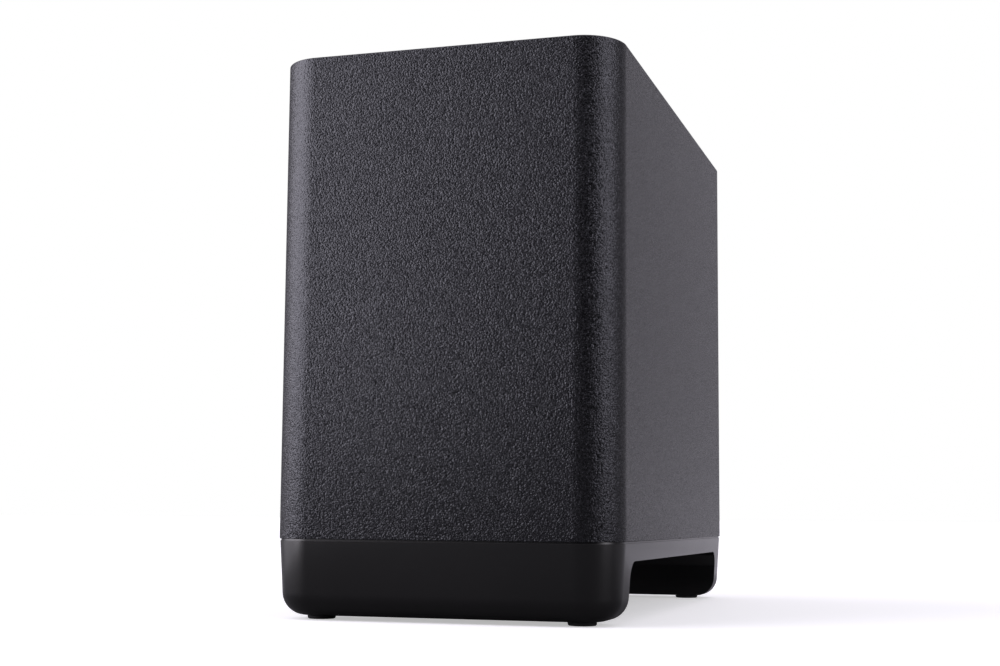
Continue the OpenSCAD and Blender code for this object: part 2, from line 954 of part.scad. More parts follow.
// Sealed tub that keeps the cabinet's air off the electronics
module amp_chamber() {
    post_r = 4;
    post_l = chamber_screw_l + 2;
    web_half = 1;
    color([0.16, 0.16, 0.17])
        on_back(amp_y, amp_z)
            difference() {
                union() {
                    difference() {
                        translate([0, 0, chamber_back])
                            linear_extrude(chamber_d)
                                rounded(chamber_w, chamber_h, amp_r - 2);
                        translate([0, 0, chamber_back + chamber_t])
                            linear_extrude(chamber_d)
                                rounded(chamber_w - 2 * chamber_t, chamber_h - 2 * chamber_t, amp_r - 4);
                    }
                    translate([0, 0, -amp_t - post_l])
                        at_each(chamber_screw_at)
                            cylinder(h = post_l, r = post_r, $fn = 48);
                    for (p = chamber_screw_at)
                        block(
                            [min(p[0], sign(p[0]) * chamber_w / 2), p[1] - web_half, -amp_t - post_l],
                            [max(p[0], sign(p[0]) * chamber_w / 2), p[1] + web_half, -amp_t]
                        );
                }
                translate([0, 0, -amp_t - chamber_screw_l])
                    at_each(chamber_screw_at)
                        cylinder(h = chamber_screw_l + 1, r = screw_r, $fn = 32);
                translate([0, wire_z - amp_z, chamber_back - 1])
                    cylinder(h = chamber_t + 2, r = gland_r, $fn = 48);
            }
}

module chamber_screws() {
    color([0.22, 0.22, 0.23])
        on_back(amp_y, amp_z)
            at_each(chamber_screw_at)
                screw(chamber_screw_l);
}

module main_board() {
    color([0.05, 0.30, 0.16])
        on_back(amp_y, amp_z)
            translate([0, 0, board_back])
                linear_extrude(board_t)
                    difference() {
                        rounded(board_w, board_h, 2);
                        at_each(standoff_at)
                            circle(board_screw_r, $fn = 32);
                        translate([inlet_x, controls_z])
                            at_each([[-pin_c, 0], [pin_c, 0]])
                                circle(pin_r, $fn = 32);
                    }
}

module board_standoffs() {
    color([0.78, 0.66, 0.38])
        on_back(amp_y, amp_z)
            at_each(standoff_at)
                ring(board_screw_r, standoff_r, board_face, -amp_t);
}

module board_screws() {
    head_h = 1.8;
    head_r = 2.8;
    color([0.70, 0.70, 0.72])
        on_back(amp_y, amp_z)
            at_each(standoff_at) {
                translate([0, 0, board_back])
                    cylinder(h = 8, r = board_screw_r, $fn = 32);
                translate([0, 0, board_back - head_h])
                    cylinder(h = head_h, r = head_r, $fn = 48);
            }
}

// Two-legged ferrite core on its side
module power_transformer() {
    mid_z = -core_rise - core_h / 2;
    color([0.16, 0.16, 0.17])
        on_back(amp_y, amp_z)
            translate(transformer_at)
                difference() {
                    block([-core_half, -core_half, mid_z - core_h / 2],
                        [core_half, core_half, mid_z + core_h / 2]);
                    for (s = [0, 1])
                        mirror([s, 0, 0])
                            block([core_post, -coil_half, mid_z - coil_h / 2],
                                [core_half + 1, coil_half, mid_z + coil_h / 2]);
                }
}

module transformer_winding() {
    mid_z = -core_rise - core_h / 2;
    slack = 0.2;
    color([0.85, 0.70, 0.15])
        on_back(amp_y, amp_z)
            translate(transformer_at)
                for (s = [0, 1])
                    mirror([s, 0, 0])
                        block([core_post, slack - coil_half, mid_z - coil_h / 2 + slack],
                            [core_half - 2, coil_half - slack, mid_z + coil_h / 2 - slack]);
}

// Can capacitor standing on the board
module can(x, y, r, h) {
    translate([x, y, board_back - h])
        cylinder(h = h, r = r, $fn = 48);
}

module bulk_capacitors() {
    color([0.10, 0.12, 0.30])
        on_back(amp_y, amp_z)
            for (x = [-38, -15])
                can(x, 42, 10, 32);
}

module small_capacitors() {
    color([0.12, 0.13, 0.28])
        on_back(amp_y, amp_z)
            for (x = [4, 15, 26, 37])
                can(x, 62, 4, 12);
}

module output_inductors() {
    color([0.30, 0.30, 0.32])
        on_back(amp_y, amp_z)
            for (x = [20, 40])
                translate([x, -24, 0])
                    ring(2.5, 7, board_back - 13, board_back);
}

// Finned block on the amplifier chip
module heatsink() {
    fin_n = 8;
    fin_step = 5.4;
    fin_h = 20;
    fin_half = 0.8;
    base_half = 20;
    length_half = 26;
    base_t = 4;
    base_z = board_back - chip_top;
    color([0.68, 0.69, 0.71])
        on_back(amp_y, amp_z)
            translate(chip_at) {
                block([-base_half, -length_half, base_z - base_t], [base_half, length_half, base_z]);
                for (i = [0 : fin_n - 1])
                    translate([(i - (fin_n - 1) / 2) * fin_step, 0, 0])
                        block([-fin_half, -length_half, base_z - base_t - fin_h],
                            [fin_half, length_half, base_z - base_t]);
            }
}

module amp_chip() {
    half = 9;
    lead_half = 0.5;
    lead_reach = 2;
    lead_step = 3.5;
    color([0.08, 0.08, 0.09])
        on_back(amp_y, amp_z)
            translate(chip_at) {
                block([-half, -half, board_back - chip_top], [half, half, board_back - 1]);
                for (i = [-2 : 2])
                    block([i * lead_step - lead_half, -half - lead_reach, board_back - 3],
                        [i * lead_step + lead_half, half + lead_reach, board_back]);
            }
}

// Small radio board with its screening can
module wireless_module() {
    radio_t = 1.2;
    can_t = 2.6;
    color([0.10, 0.22, 0.42])
        on_back(amp_y, amp_z)
            translate([33, -50, board_back]) {
                block([-14, -10, -radio_t], [14, 10, 0]);
                block([-10, -7, -radio_t - can_t], [6, 7, -radio_t]);
            }
}

module emi_choke() {
    winding_r = 4.4;
    color([0.62, 0.30, 0.12])
        on_back(amp_y, amp_z)
            translate([-30, -48, board_back - winding_r - 0.1])
                rotate_extrude($fn = 96)
                    translate([9, 0])
                        circle(winding_r, $fn = 48);
}

module fuse() {
    fuse_l = 20;
    fuse_r = 2.5;
    rise = 4;
    color([0.80, 0.80, 0.82])
        on_back(amp_y, amp_z)
            translate([-48, -8, board_back - rise]) {
                rotate([-90, 0, 0])
                    cylinder(h = fuse_l, r = fuse_r, $fn = 32);
                for (y = [2, fuse_l - 3])
                    block([-2, y - 1, fuse_r - 0.5], [2, y + 1, rise]);
            }
}

module speaker_connector() {
    mid = wire_z - amp_z;
    color([0.88, 0.87, 0.82])
        on_back(amp_y, amp_z)
            block([-8, mid - 4, board_back - connector_h], [8, mid + 4, board_back]);
}

// Twin cable from the amplifier board to the driver's tags
module speaker_cable() {
    start_y = amp_y + board_back - connector_h;
    end_y = terminal_y;
    end_z = driver_z + terminal_z + tag_h;
    color([0.62, 0.12, 0.10])
        for (x = [-wire_x, wire_x]) {
            rod([x, start_y, wire_z], [x, end_y + wire_bend, wire_z], wire_r);
            translate([x, end_y + wire_bend, wire_z - wire_bend])
                rotate([90, 0, -90])
                    rotate_extrude(angle = 90, $fn = 48)
                        translate([wire_bend, 0])
                            circle(wire_r, $fn = 24);
            rod([x, end_y, wire_z - wire_bend], [x, end_y, end_z], wire_r);
        }
}

module cable_gland() {
    color([0.08, 0.08, 0.08])
        on_back(amp_y, amp_z)
            translate([0, wire_z - amp_z, chamber_back])
                difference() {
                    union() {
                        translate([0, 0, -gland_lip_t])
                            cylinder(h = gland_lip_t, r = gland_r + gland_lip, $fn = 64);
                        cylinder(h = chamber_t, r = gland_r, $fn = 48);
                        translate([0, 0, chamber_t])
                            cylinder(h = gland_lip_t, r = gland_r + gland_lip, $fn = 64);
                    }
                    for (x = [-wire_x, wire_x])
                        translate([x, 0, -3])
                            cylinder(h = chamber_t + 6, r = wire_r, $fn = 24);
                }
}

// ---------- connections and controls ----------

module inlet_slot() {
    square([2 * inlet_slot_c, 2 * inlet_slot_r], center = true);
    for (x = [-inlet_slot_c, inlet_slot_c])
        translate([x, 0])
            circle(inlet_slot_r, $fn = 48);
}

module ac_inlet() {
    color([0.08, 0.08, 0.09])
        on_back(amp_y, amp_z)
            translate([inlet_x, controls_z])
                difference() {
                    union() {
                        linear_extrude(inlet_flange_t)
                            rounded(inlet_flange_w, inlet_flange_h, 3);
                        translate([0, 0, -inlet_body_l])
                            linear_extrude(inlet_body_l)
                                square([inlet_body_w, inlet_body_h], center = true);
                    }
                    translate([0, 0, inlet_flange_t - inlet_depth])
                        linear_extrude(inlet_depth + 1)
                            inlet_slot();
                    translate([0, 0, -inlet_body_l - 1])
                        at_each([[-pin_c, 0], [pin_c, 0]])
                            cylinder(h = inlet_body_l, r = pin_r, $fn = 32);
                }
}

module inlet_pins() {
    color([0.80, 0.78, 0.70])
        on_back(amp_y, amp_z)
            translate([inlet_x, controls_z])
                at_each([[-pin_c, 0], [pin_c, 0]])
                    translate([0, 0, board_back])
                        cylinder(h = -board_back - 2, r = pin_r, $fn = 32);
}

module sync_button() {
    stem_end = board_face + switch_h + plunger_h;
    cap_l = 7;
    stem_r = 1.4;
    color([0.14, 0.14, 0.15])
        on_back(amp_y, amp_z)
            translate([button_x, controls_z]) {
                translate([0, 0, -cap_l])
                    cylinder(h = cap_l + button_proud, r = button_r, $fn = 48);
                translate([0, 0, -amp_t - button_collar_t - 0.2])
                    cylinder(h = button_collar_t, r = button_collar_r, $fn = 48);
                translate([0, 0, stem_end])
                    cylinder(h = -stem_end - cap_l, r = stem_r, $fn = 32);
            }
}

module switch_plunger() {
    color([0.75, 0.74, 0.70])
        on_back(amp_y, amp_z)
            translate([button_x, controls_z, board_face + switch_h - plunger_in])
                cylinder(h = plunger_h + plunger_in, r = plunger_r, $fn = 32);
}

module sync_switch() {
    color([0.12, 0.12, 0.13])
        on_back(amp_y, amp_z)
            translate([button_x, controls_z, board_face])
                difference() {
                    block([-switch_w / 2, -switch_w / 2, 0], [switch_w / 2, switch_w / 2, switch_h]);
                    translate([0, 0, switch_h - plunger_in - button_travel - fit_gap])
                        cylinder(h = switch_h, r = plunger_r + fit_gap, $fn = 32);
                }
}

module status_led() {
    color([0.85, 0.85, 0.80])
        on_back(amp_y, amp_z)
            translate([led_x, controls_z, board_face])
                block([-2 * led_h, -led_h, 0], [2 * led_h, led_h, led_h]);
}

module led_light_pipe() {
    color([0.90, 0.92, 0.95])
        on_back(amp_y, amp_z)
            translate([led_x, controls_z, board_face + led_h])
                cylinder(h = -board_face - led_h + pipe_proud, r = pipe_r, $fn = 32);
}

textured_wrap();
cabinet_walls();
top_panel();
bottom_baffle();
brace_panel();
wadding_front();
wadding_left();
wadding_right();
plinth();
plinth_screws();
foot_front_left();
foot_front_right();
foot_rear_left();
foot_rear_right();
driver_basket();
driver_gasket();
trim_ring();
surround();
cone();
dust_cap();
voice_coil_former();
voice_coil_winding();
spider();
top_plate();
ferrite_magnet();
pole_yoke();
driver_terminal();
tinsel_leads();
driver_screws();
port_flare();
port_tube();
amp_plate();
amp_gasket();
amp_screws();
amp_chamber();
chamber_screws();
main_board();
board_standoffs();
board_screws();
power_transformer();
transformer_winding();
bulk_capacitors();
small_capacitors();
output_inductors();
heatsink();
amp_chip();
wireless_module();
emi_choke();
fuse();
speaker_connector();
speaker_cable();
cable_gland();
ac_inlet();
inlet_pins();
sync_button();
switch_plunger();
sync_switch();
status_led();
led_light_pipe();
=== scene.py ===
"""Looks of a wireless down-firing subwoofer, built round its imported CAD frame."""

import json
import math

import bmesh
import bpy
from mathutils import Matrix, Vector, noise
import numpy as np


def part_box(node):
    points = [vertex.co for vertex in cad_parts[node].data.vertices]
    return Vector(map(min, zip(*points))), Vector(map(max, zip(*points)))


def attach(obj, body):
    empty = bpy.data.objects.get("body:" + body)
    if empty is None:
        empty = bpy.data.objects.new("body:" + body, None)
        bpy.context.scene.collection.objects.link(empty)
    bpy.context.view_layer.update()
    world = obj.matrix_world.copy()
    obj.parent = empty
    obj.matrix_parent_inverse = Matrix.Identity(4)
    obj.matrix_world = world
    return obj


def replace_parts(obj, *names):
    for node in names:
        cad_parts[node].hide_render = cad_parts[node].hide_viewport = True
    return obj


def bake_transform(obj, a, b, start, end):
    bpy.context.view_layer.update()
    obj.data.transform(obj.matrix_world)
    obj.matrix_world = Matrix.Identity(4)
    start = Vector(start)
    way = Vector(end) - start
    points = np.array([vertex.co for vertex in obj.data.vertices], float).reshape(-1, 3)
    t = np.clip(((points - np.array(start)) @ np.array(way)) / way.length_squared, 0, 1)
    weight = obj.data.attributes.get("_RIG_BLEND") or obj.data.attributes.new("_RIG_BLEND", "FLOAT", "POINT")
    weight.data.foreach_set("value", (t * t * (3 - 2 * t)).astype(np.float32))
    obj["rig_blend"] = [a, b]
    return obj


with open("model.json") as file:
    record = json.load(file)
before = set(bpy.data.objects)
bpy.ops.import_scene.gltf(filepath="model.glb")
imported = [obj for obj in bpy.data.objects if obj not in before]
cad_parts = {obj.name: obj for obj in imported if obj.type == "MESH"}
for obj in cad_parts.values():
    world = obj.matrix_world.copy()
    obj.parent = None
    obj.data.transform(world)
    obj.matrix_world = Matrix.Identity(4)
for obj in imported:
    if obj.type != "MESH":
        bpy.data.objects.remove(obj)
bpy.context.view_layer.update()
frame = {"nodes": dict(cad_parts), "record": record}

MM = 0.001
TAU = 2 * math.pi

# ---------- camera, floor and light ----------

# From a perspective fit of the photo's outline
CAMERA_AT = (0.3151, -1.0915, 0.0655)
CAMERA_YAW = 16.77
CAMERA_PITCH = 5.90
CAMERA_ROLL = 0.41
CAMERA_LENS = 54.58
CAMERA_SHIFT = (-0.0116, 0.0278)


def make_camera():
    data = bpy.data.cameras.new("camera")
    data.lens = CAMERA_LENS
    data.sensor_width = 36.0
    data.shift_x, data.shift_y = CAMERA_SHIFT
    data.clip_start = 0.01
    data.clip_end = 100.0
    camera = bpy.data.objects.new("camera", data)
    turn = (
        Matrix.Rotation(math.radians(CAMERA_YAW), 4, "Z")
        @ Matrix.Rotation(math.radians(90 + CAMERA_PITCH), 4, "X")
        @ Matrix.Rotation(math.radians(CAMERA_ROLL), 4, "Z")
    )
    camera.matrix_world = Matrix.Translation(CAMERA_AT) @ turn
    bpy.context.collection.objects.link(camera)
    bpy.context.scene.camera = camera


# Light round the object, set until its faces shade as the photo's do: compass
# angle in degrees from -Y towards +X, level above the horizon, level at and below it
SURROUNDINGS = (
    (-180, 0.3, 0.6), (-135, 0.15, 0.3), (-114, 0.3, 0.3), (-98, 2.3, 0.3), (-80, 4.4, 0.4),
    (-62, 5.0, 1.3), (-46, 4.4, 5.0), (-34, 1.8, 4.0), (-24, 0.15, 1.2), (-14, 0.0, 0.1),
    (0, 0.0, 0.0), (40, 0.0, 0.0), (54, 0.05, 0.05), (66, 1.4, 0.6), (76, 4.5, 0.8),
    (88, 3.0, 0.5), (102, 0.3, 0.1), (114, 0.12, 0.1), (135, 0.26, 0.25), (165, 0.31, 0.45),
    (173, 0.46, 0.8), (179, 0.55, 0.9),
)
SURROUND_PEAK = 5.0
SURROUND_TINT = (0.93, 0.89, 1.0)
# Heights in the unit direction where one level passes into the next
HORIZON_BAND = (-0.14, 0.04)
CEILING_BAND = (0.55, 0.85)
CEILING = 0.9
# What the camera itself sees of the surroundings
SEEN_TINT = (1.0, 1.0, 1.0)
SEEN_LEVEL = 1.0
# The card that stands in for the floor in reflections and bounced light; its colour is painted shade, darker
# than the floor
CARD_ACROSS = (-0.4, 1.2)
CARD_ALONG = (-1.2, 0.5)
CARD_DROP = 0.2 * MM
FLOOR_REACH = 40.0


class Nodes:
    """Short calls for the nodes of one node tree."""

    def __init__(self, tree):
        self.nodes = tree.nodes
        self.links = tree.links

    def feed(self, socket, value):
        """Links a socket to an output, or sets it to a number, vector or colour."""
        if isinstance(value, bpy.types.NodeSocket):
            self.links.new(value, socket)
        else:
            socket.default_value = value

    def maths(self, operation, a, b):
        node = self.nodes.new("ShaderNodeMath")
        node.operation = operation
        self.feed(node.inputs[0], a)
        self.feed(node.inputs[1], b)
        return node.outputs[0]

    def span(self, value, low, high, to_low=0.0, to_high=1.0, smooth=False):
        """Takes a value that runs from low to high over to another range."""
        node = self.nodes.new("ShaderNodeMapRange")
        if smooth:
            node.interpolation_type = "SMOOTHSTEP"
        ends = {"From Min": low, "From Max": high, "To Min": to_low, "To Max": to_high}
        for socket, number in ends.items():
            node.inputs[socket].default_value = number
        self.links.new(value, node.inputs["Value"])
        return node.outputs[0]

    def ramp(self, value, stops):
        node = self.nodes.new("ShaderNodeValToRGB")
        ramp = node.color_ramp
        while len(ramp.elements) < len(stops):
            ramp.elements.new(0.5)
        for element, (place, color) in zip(ramp.elements, stops):
            element.position = place
            element.color = (*color, 1.0)
        self.links.new(value, node.inputs["Fac"])
        return node.outputs["Color"]

    def mix(self, share, a, b, kind="RGBA"):
        node = self.nodes.new("ShaderNodeMix")
        node.data_type = kind
        sockets = [s for s in node.inputs if s.enabled]
        for socket, value in zip(sockets, (share, a, b)):
            self.feed(socket, (*value, 1.0) if isinstance(value, tuple) else value)
        return [s for s in node.outputs if s.enabled][0]


def make_world():
    """Tall soft light on the left, a narrower one on the right, white for the camera."""
    world = bpy.data.worlds.new("studio")
    bpy.context.scene.world = world
    world.use_nodes = True
    w = Nodes(world.node_tree)
    split = w.nodes.new("ShaderNodeSeparateXYZ")
    w.links.new(w.nodes.new("ShaderNodeTexCoord").outputs["Generated"], split.inputs[0])
    back = w.maths("MULTIPLY", split.outputs["Y"], -1.0)
    compass = w.maths("ARCTAN2", split.outputs["X"], back)
    turn = w.maths("MULTIPLY_ADD", compass, 1 / TAU)
    turn.node.inputs[2].default_value = 0.5
    levels = []
    for column in (1, 2):
        stops = [((row[0] + 180) / 360, (row[column] / SURROUND_PEAK,) * 3) for row in SURROUNDINGS]
        levels.append(w.maths("MULTIPLY", w.ramp(turn, stops), SURROUND_PEAK))
    tall, low = levels
    around = w.mix(w.span(split.outputs["Z"], *HORIZON_BAND), low, tall, "FLOAT")
    overhead = w.span(split.outputs["Z"], *CEILING_BAND, smooth=True)
    lit = w.mix(overhead, around, CEILING, "FLOAT")
    camera_ray = w.nodes.new("ShaderNodeLightPath").outputs["Is Camera Ray"]
    background = w.nodes["Background"]
    w.links.new(w.mix(camera_ray, SURROUND_TINT, SEEN_TINT), background.inputs["Color"])
    w.links.new(w.mix(camera_ray, lit, SEEN_LEVEL, "FLOAT"), background.inputs["Strength"])


# ---------- materials ----------


class Surface(Nodes):
    """A Principled material with short calls for what feeds it."""

    def __init__(self, name, color, roughness, metallic=0.0):
        self.material = bpy.data.materials.new(name)
        self.material.use_nodes = True
        super().__init__(self.material.node_tree)
        self.shader = self.nodes["Principled BSDF"]
        self.put("Base Color", (*color, 1.0))
        self.put("Roughness", roughness)
        self.put("Metallic", metallic)
        self.where = self.nodes.new("ShaderNodeTexCoord").outputs["Object"]

    def put(self, socket, value):
        self.shader.inputs[socket].default_value = value

    def join(self, source, socket):
        self.links.new(source, self.shader.inputs[socket])

    def stretched(self, scale):
        mapping = self.nodes.new("ShaderNodeMapping")
        mapping.inputs["Scale"].default_value = scale
        self.links.new(self.where, mapping.inputs["Vector"])
        return mapping.outputs["Vector"]

    def noise(self, scale, detail=2.0, rough=0.5, where=None):
        node = self.nodes.new("ShaderNodeTexNoise")
        node.inputs["Scale"].default_value = scale
        node.inputs["Detail"].default_value = detail
        node.inputs["Roughness"].default_value = rough
        self.links.new(where or self.where, node.inputs["Vector"])
        return node.outputs["Fac"]

    def axis(self, name):
        node = self.nodes.new("ShaderNodeSeparateXYZ")
        self.links.new(self.where, node.inputs[0])
        return node.outputs[name]

    def voronoi(self, scale, where=None):
        node = self.nodes.new("ShaderNodeTexVoronoi")
        node.inputs["Scale"].default_value = scale
        self.links.new(where or self.where, node.inputs["Vector"])
        return node

    def vector_maths(self, operation, a, b=None):
        node = self.nodes.new("ShaderNodeVectorMath")
        node.operation = operation
        self.feed(node.inputs[0], a)
        if b is not None:
            self.feed(node.inputs["Scale" if operation == "SCALE" else 1], b)
        return node.outputs[0]

    def leaning(self, push):
        """The surface's normal, pushed off by a vector."""
        normal = self.nodes.new("ShaderNodeNewGeometry").outputs["Normal"]
        return self.vector_maths("NORMALIZE", self.vector_maths("ADD", normal, push))

    def bump(self, height, depth, strength):
        node = self.nodes.new("ShaderNodeBump")
        node.inputs["Strength"].default_value = strength
        node.inputs["Distance"].default_value = depth
        self.links.new(height, node.inputs["Height"])
        self.join(node.outputs["Normal"], "Normal")


def tinted(color, factor):
    return tuple(min(1.0, c * factor) for c in color)


PEBBLE = 1.15 * MM
PEBBLE_SQUASH = 1.15
PEBBLE_LEAN = 0.42
FACET = 0.5 * MM
FACET_LEAN = 0.36
VINYL_ROUGHNESS = (0.16, 0.32)


def grained_vinyl():
    """Fine pebbled vinyl: small domes broken up by still smaller facets."""
    s = Surface("grained_vinyl", (0.006, 0.006, 0.0068), 0.4)
    squashed = s.stretched((1, 1, PEBBLE_SQUASH))
    pebbles = s.voronoi(1 / PEBBLE, where=squashed)
    away = s.vector_maths("SUBTRACT", squashed, pebbles.outputs["Position"])
    facets = s.voronoi(1 / FACET)
    shade = s.nodes.new("ShaderNodeSeparateColor")
    s.links.new(facets.outputs["Color"], shade.inputs[0])
    s.join(s.ramp(shade.outputs[0], [
        (0.0, (0.0010, 0.0010, 0.0012)),
        (0.6, (0.004, 0.004, 0.0046)),
        (1.0, (0.032, 0.032, 0.036)),
    ]), "Base Color")
    s.join(s.span(shade.outputs[1], 0.0, 1.0, *VINYL_ROUGHNESS), "Roughness")
    broken = s.vector_maths("SUBTRACT", facets.outputs["Color"], (0.5, 0.5, 0.5))
    push = s.vector_maths(
        "ADD",
        s.vector_maths("SCALE", away, PEBBLE_LEAN / PEBBLE),
        s.vector_maths("SCALE", broken, FACET_LEAN),
    )
    s.join(s.leaning(push), "Normal")
    s.put("Specular Tint", (0.93, 0.95, 1.0, 1.0))
    return s.material


def satin_black():
    """Smooth satin moulding with a barely visible skin texture."""
    s = Surface("satin_black", (0.004, 0.004, 0.0045), 0.34)
    fine = s.noise(2600, 2.0)
    broad = s.noise(9, 3.0)
    s.join(s.ramp(broad, [
        (0.3, (0.0034, 0.0034, 0.0039)),
        (0.7, (0.0048, 0.0048, 0.0054)),
    ]), "Base Color")
    s.join(s.span(broad, 0.3, 0.7, 0.19, 0.24), "Roughness")
    s.bump(fine, 0.02 * MM, 0.35)
    s.put("Coat Weight", 0.3)
    s.put("Coat Roughness", 0.14)
    s.put("Specular Tint", (1.0, 1.0, 0.95, 1.0))
    return s.material


def moulded(name, color, roughness=0.5, scale=1500, depth=0.05):
    """Plain moulded plastic or rubber: fine spark texture, faint mottling."""
    s = Surface(name, color, roughness)
    fine = s.noise(scale, 2.0)
    broad = s.noise(35, 3.0)
    s.join(s.ramp(broad, [(0.3, tinted(color, 0.82)), (0.7, tinted(color, 1.18))]), "Base Color")
    s.join(s.span(broad, 0.3, 0.7, roughness - 0.05, roughness + 0.07), "Roughness")
    s.bump(fine, depth * MM, 0.5)
    return s.material


def metal(name, color, roughness=0.35, stretch=(1, 1, 1), scale=900, metallic=1.0):
    """Plated or brushed metal with streaks along one axis."""
    s = Surface(name, color, roughness, metallic)
    streaks = s.noise(scale, 3.0, 0.6, s.stretched(stretch))
    stains = s.noise(60, 3.0)
    s.join(s.ramp(stains, [(0.3, tinted(color, 0.86)), (0.7, tinted(color, 1.08))]), "Base Color")
    s.join(s.span(streaks, 0.3, 0.7, roughness - 0.08, roughness + 0.12), "Roughness")
    s.bump(streaks, 0.03 * MM, 0.4)
    return s.material


PAINT_BACK_Y = 198.5 * MM
PAINT_UNDER_Z = 58.0 * MM
PAINT_FADE = 0.5 * MM


def fibreboard():
    """Sawn fibreboard, painted black below and on the outside of the back."""
    s = Surface("fibreboard", (0.42, 0.27, 0.14), 0.85)
    fibres = s.noise(700, 4.0, 0.7, s.stretched((1, 1, 0.35)))
    flecks = s.noise(160, 3.0, 0.6)
    board = s.mix(
        s.span(flecks, 0.35, 0.65),
        s.ramp(fibres, [(0.3, (0.30, 0.185, 0.09)), (0.7, (0.52, 0.35, 0.19))]),
        (0.45, 0.29, 0.155),
    )
    behind = s.span(s.axis("Y"), PAINT_BACK_Y, PAINT_BACK_Y + PAINT_FADE)
    below = s.span(s.axis("Z"), PAINT_UNDER_Z, PAINT_UNDER_Z - PAINT_FADE)
    painted = s.maths("MAXIMUM", behind, below)
    s.join(s.mix(painted, board, (0.012, 0.012, 0.013)), "Base Color")
    s.bump(fibres, 0.15 * MM, 0.6)
    return s.material


def cloth(name, color):
    """Woven cloth, two crossing sets of threads."""
    s = Surface(name, color, 0.85)
    wave = []
    for axis in ("X", "Y"):
        node = s.nodes.new("ShaderNodeTexWave")
        node.bands_direction = axis
        node.inputs["Scale"].default_value = 65
        node.inputs["Distortion"].default_value = 0.6
        s.links.new(s.where, node.inputs["Vector"])
        wave.append(node.outputs["Fac"])
    weave = s.maths("MULTIPLY", wave[0], wave[1])
    s.join(s.ramp(weave, [(0.0, tinted(color, 0.6)), (0.8, tinted(color, 1.15))]), "Base Color")
    s.put("Sheen Weight", 0.15)
    s.bump(weave, 0.15 * MM, 0.6)
    return s.material


def fluff(name, color):
    """Loose polyester wadding."""
    s = Surface(name, color, 0.95)
    strands = s.noise(420, 5.0, 0.7, s.stretched((1, 1, 2.4)))
    tufts = s.noise(60, 3.0)
    s.join(s.ramp(strands, [(0.3, tinted(color, 0.7)), (0.7, tinted(color, 1.1))]), "Base Color")
    s.put("Sheen Weight", 0.3)
    s.bump(s.maths("ADD", strands, tufts), 1.2 * MM, 0.7)
    return s.material


def pressed_paper():
    """Pulp cone: short fibres and fine rings about the Z axis."""
    s = Surface("pressed_paper", (0.022, 0.022, 0.024), 0.62)
    fibres = s.noise(900, 5.0, 0.75)
    rings = s.nodes.new("ShaderNodeTexWave")
    rings.wave_type = "RINGS"
    rings.rings_direction = "Z"
    rings.inputs["Scale"].default_value = 95
    rings.inputs["Distortion"].default_value = 0.4
    s.links.new(s.where, rings.inputs["Vector"])
    height = s.maths("ADD", s.maths("MULTIPLY", rings.outputs["Fac"], 0.25), fibres)
    s.join(s.ramp(fibres, [
        (0.3, (0.010, 0.010, 0.011)),
        (0.72, (0.045, 0.045, 0.048)),
    ]), "Base Color")
    s.join(s.span(fibres, 0.3, 0.7, 0.5, 0.75), "Roughness")
    s.bump(height, 0.2 * MM, 0.6)
    return s.material


def circuit_board(name, color):
    """Solder mask with tracks showing through it."""
    s = Surface(name, color, 0.35)
    tracks = s.nodes.new("ShaderNodeTexBrick")
    tracks.offset = 0.37
    pattern = {"Scale": 60, "Mortar Size": 0.012, "Brick Width": 1.9, "Row Height": 0.085}
    for socket, number in pattern.items():
        tracks.inputs[socket].default_value = number
    tracks.inputs["Color1"].default_value = (*tinted(color, 0.92), 1)
    tracks.inputs["Color2"].default_value = (*tinted(color, 1.06), 1)
    tracks.inputs["Mortar"].default_value = (*tinted(color, 0.66), 1)
    turned = s.nodes.new("ShaderNodeMapping")
    turned.inputs["Rotation"].default_value = (math.pi / 2, 0, 0)
    s.links.new(s.where, turned.inputs["Vector"])
    s.links.new(turned.outputs["Vector"], tracks.inputs["Vector"])
    s.join(tracks.outputs["Color"], "Base Color")
    s.join(s.span(s.noise(400), 0.3, 0.7, 0.28, 0.45), "Roughness")
    s.bump(tracks.outputs["Fac"], 0.05 * MM, 0.5)
    return s.material


def clear(name, color, roughness):
    """Glass or clear plastic."""
    s = Surface(name, color, roughness)
    s.put("Transmission Weight", 0.9)
    s.put("IOR", 1.5)
    s.join(s.span(s.noise(500), 0.3, 0.7, roughness * 0.7, roughness * 1.4), "Roughness")
    s.bump(s.noise(900), 0.02 * MM, 0.3)
    return s.material


def pale_floor():
    """Near-white from above, lit a little of itself so shadows stay faint; clear from below."""
    s = Surface("pale_floor", (0.93, 0.93, 0.93), 0.55)
    s.put("Emission Color", (1.0, 1.0, 1.0, 1.0))
    s.put("Emission Strength", 0.45)
    s.join(s.ramp(s.noise(3, 3.0), [
        (0.3, (0.925, 0.925, 0.925)),
        (0.7, (0.94, 0.94, 0.94)),
    ]), "Base Color")
    s.bump(s.noise(180, 3.0), 0.05 * MM, 0.2)
    under = s.nodes.new("ShaderNodeMixShader")
    s.links.new(s.nodes.new("ShaderNodeNewGeometry").outputs["Backfacing"], under.inputs["Fac"])
    s.links.new(s.shader.outputs[0], under.inputs[1])
    s.links.new(s.nodes.new("ShaderNodeBsdfTransparent").outputs[0], under.inputs[2])
    s.links.new(under.outputs[0], s.nodes["Material Output"].inputs["Surface"])
    return s.material


def gloss_card():
    """Painted shade for the floor as reflections and bounced light see it: dark in front of the cabinet,
    paler from its middle back.
    """
    s = Surface("gloss_card", (0.3, 0.3, 0.3), 0.8)
    s.join(s.ramp(s.span(s.axis("Y"), -1.0, 1.0), [
        (0.1, (0.16, 0.16, 0.16)),
        (0.4, (0.11, 0.11, 0.11)),
        (0.435, (0.14, 0.14, 0.14)),
        (0.49, (0.3, 0.3, 0.3)),
    ]), "Base Color")
    return s.material


def slot_color(slot):
    found = [m for m in frame["record"]["materials"] if m["slot"] == slot]
    return tuple(found[0]["base_color"][:3])


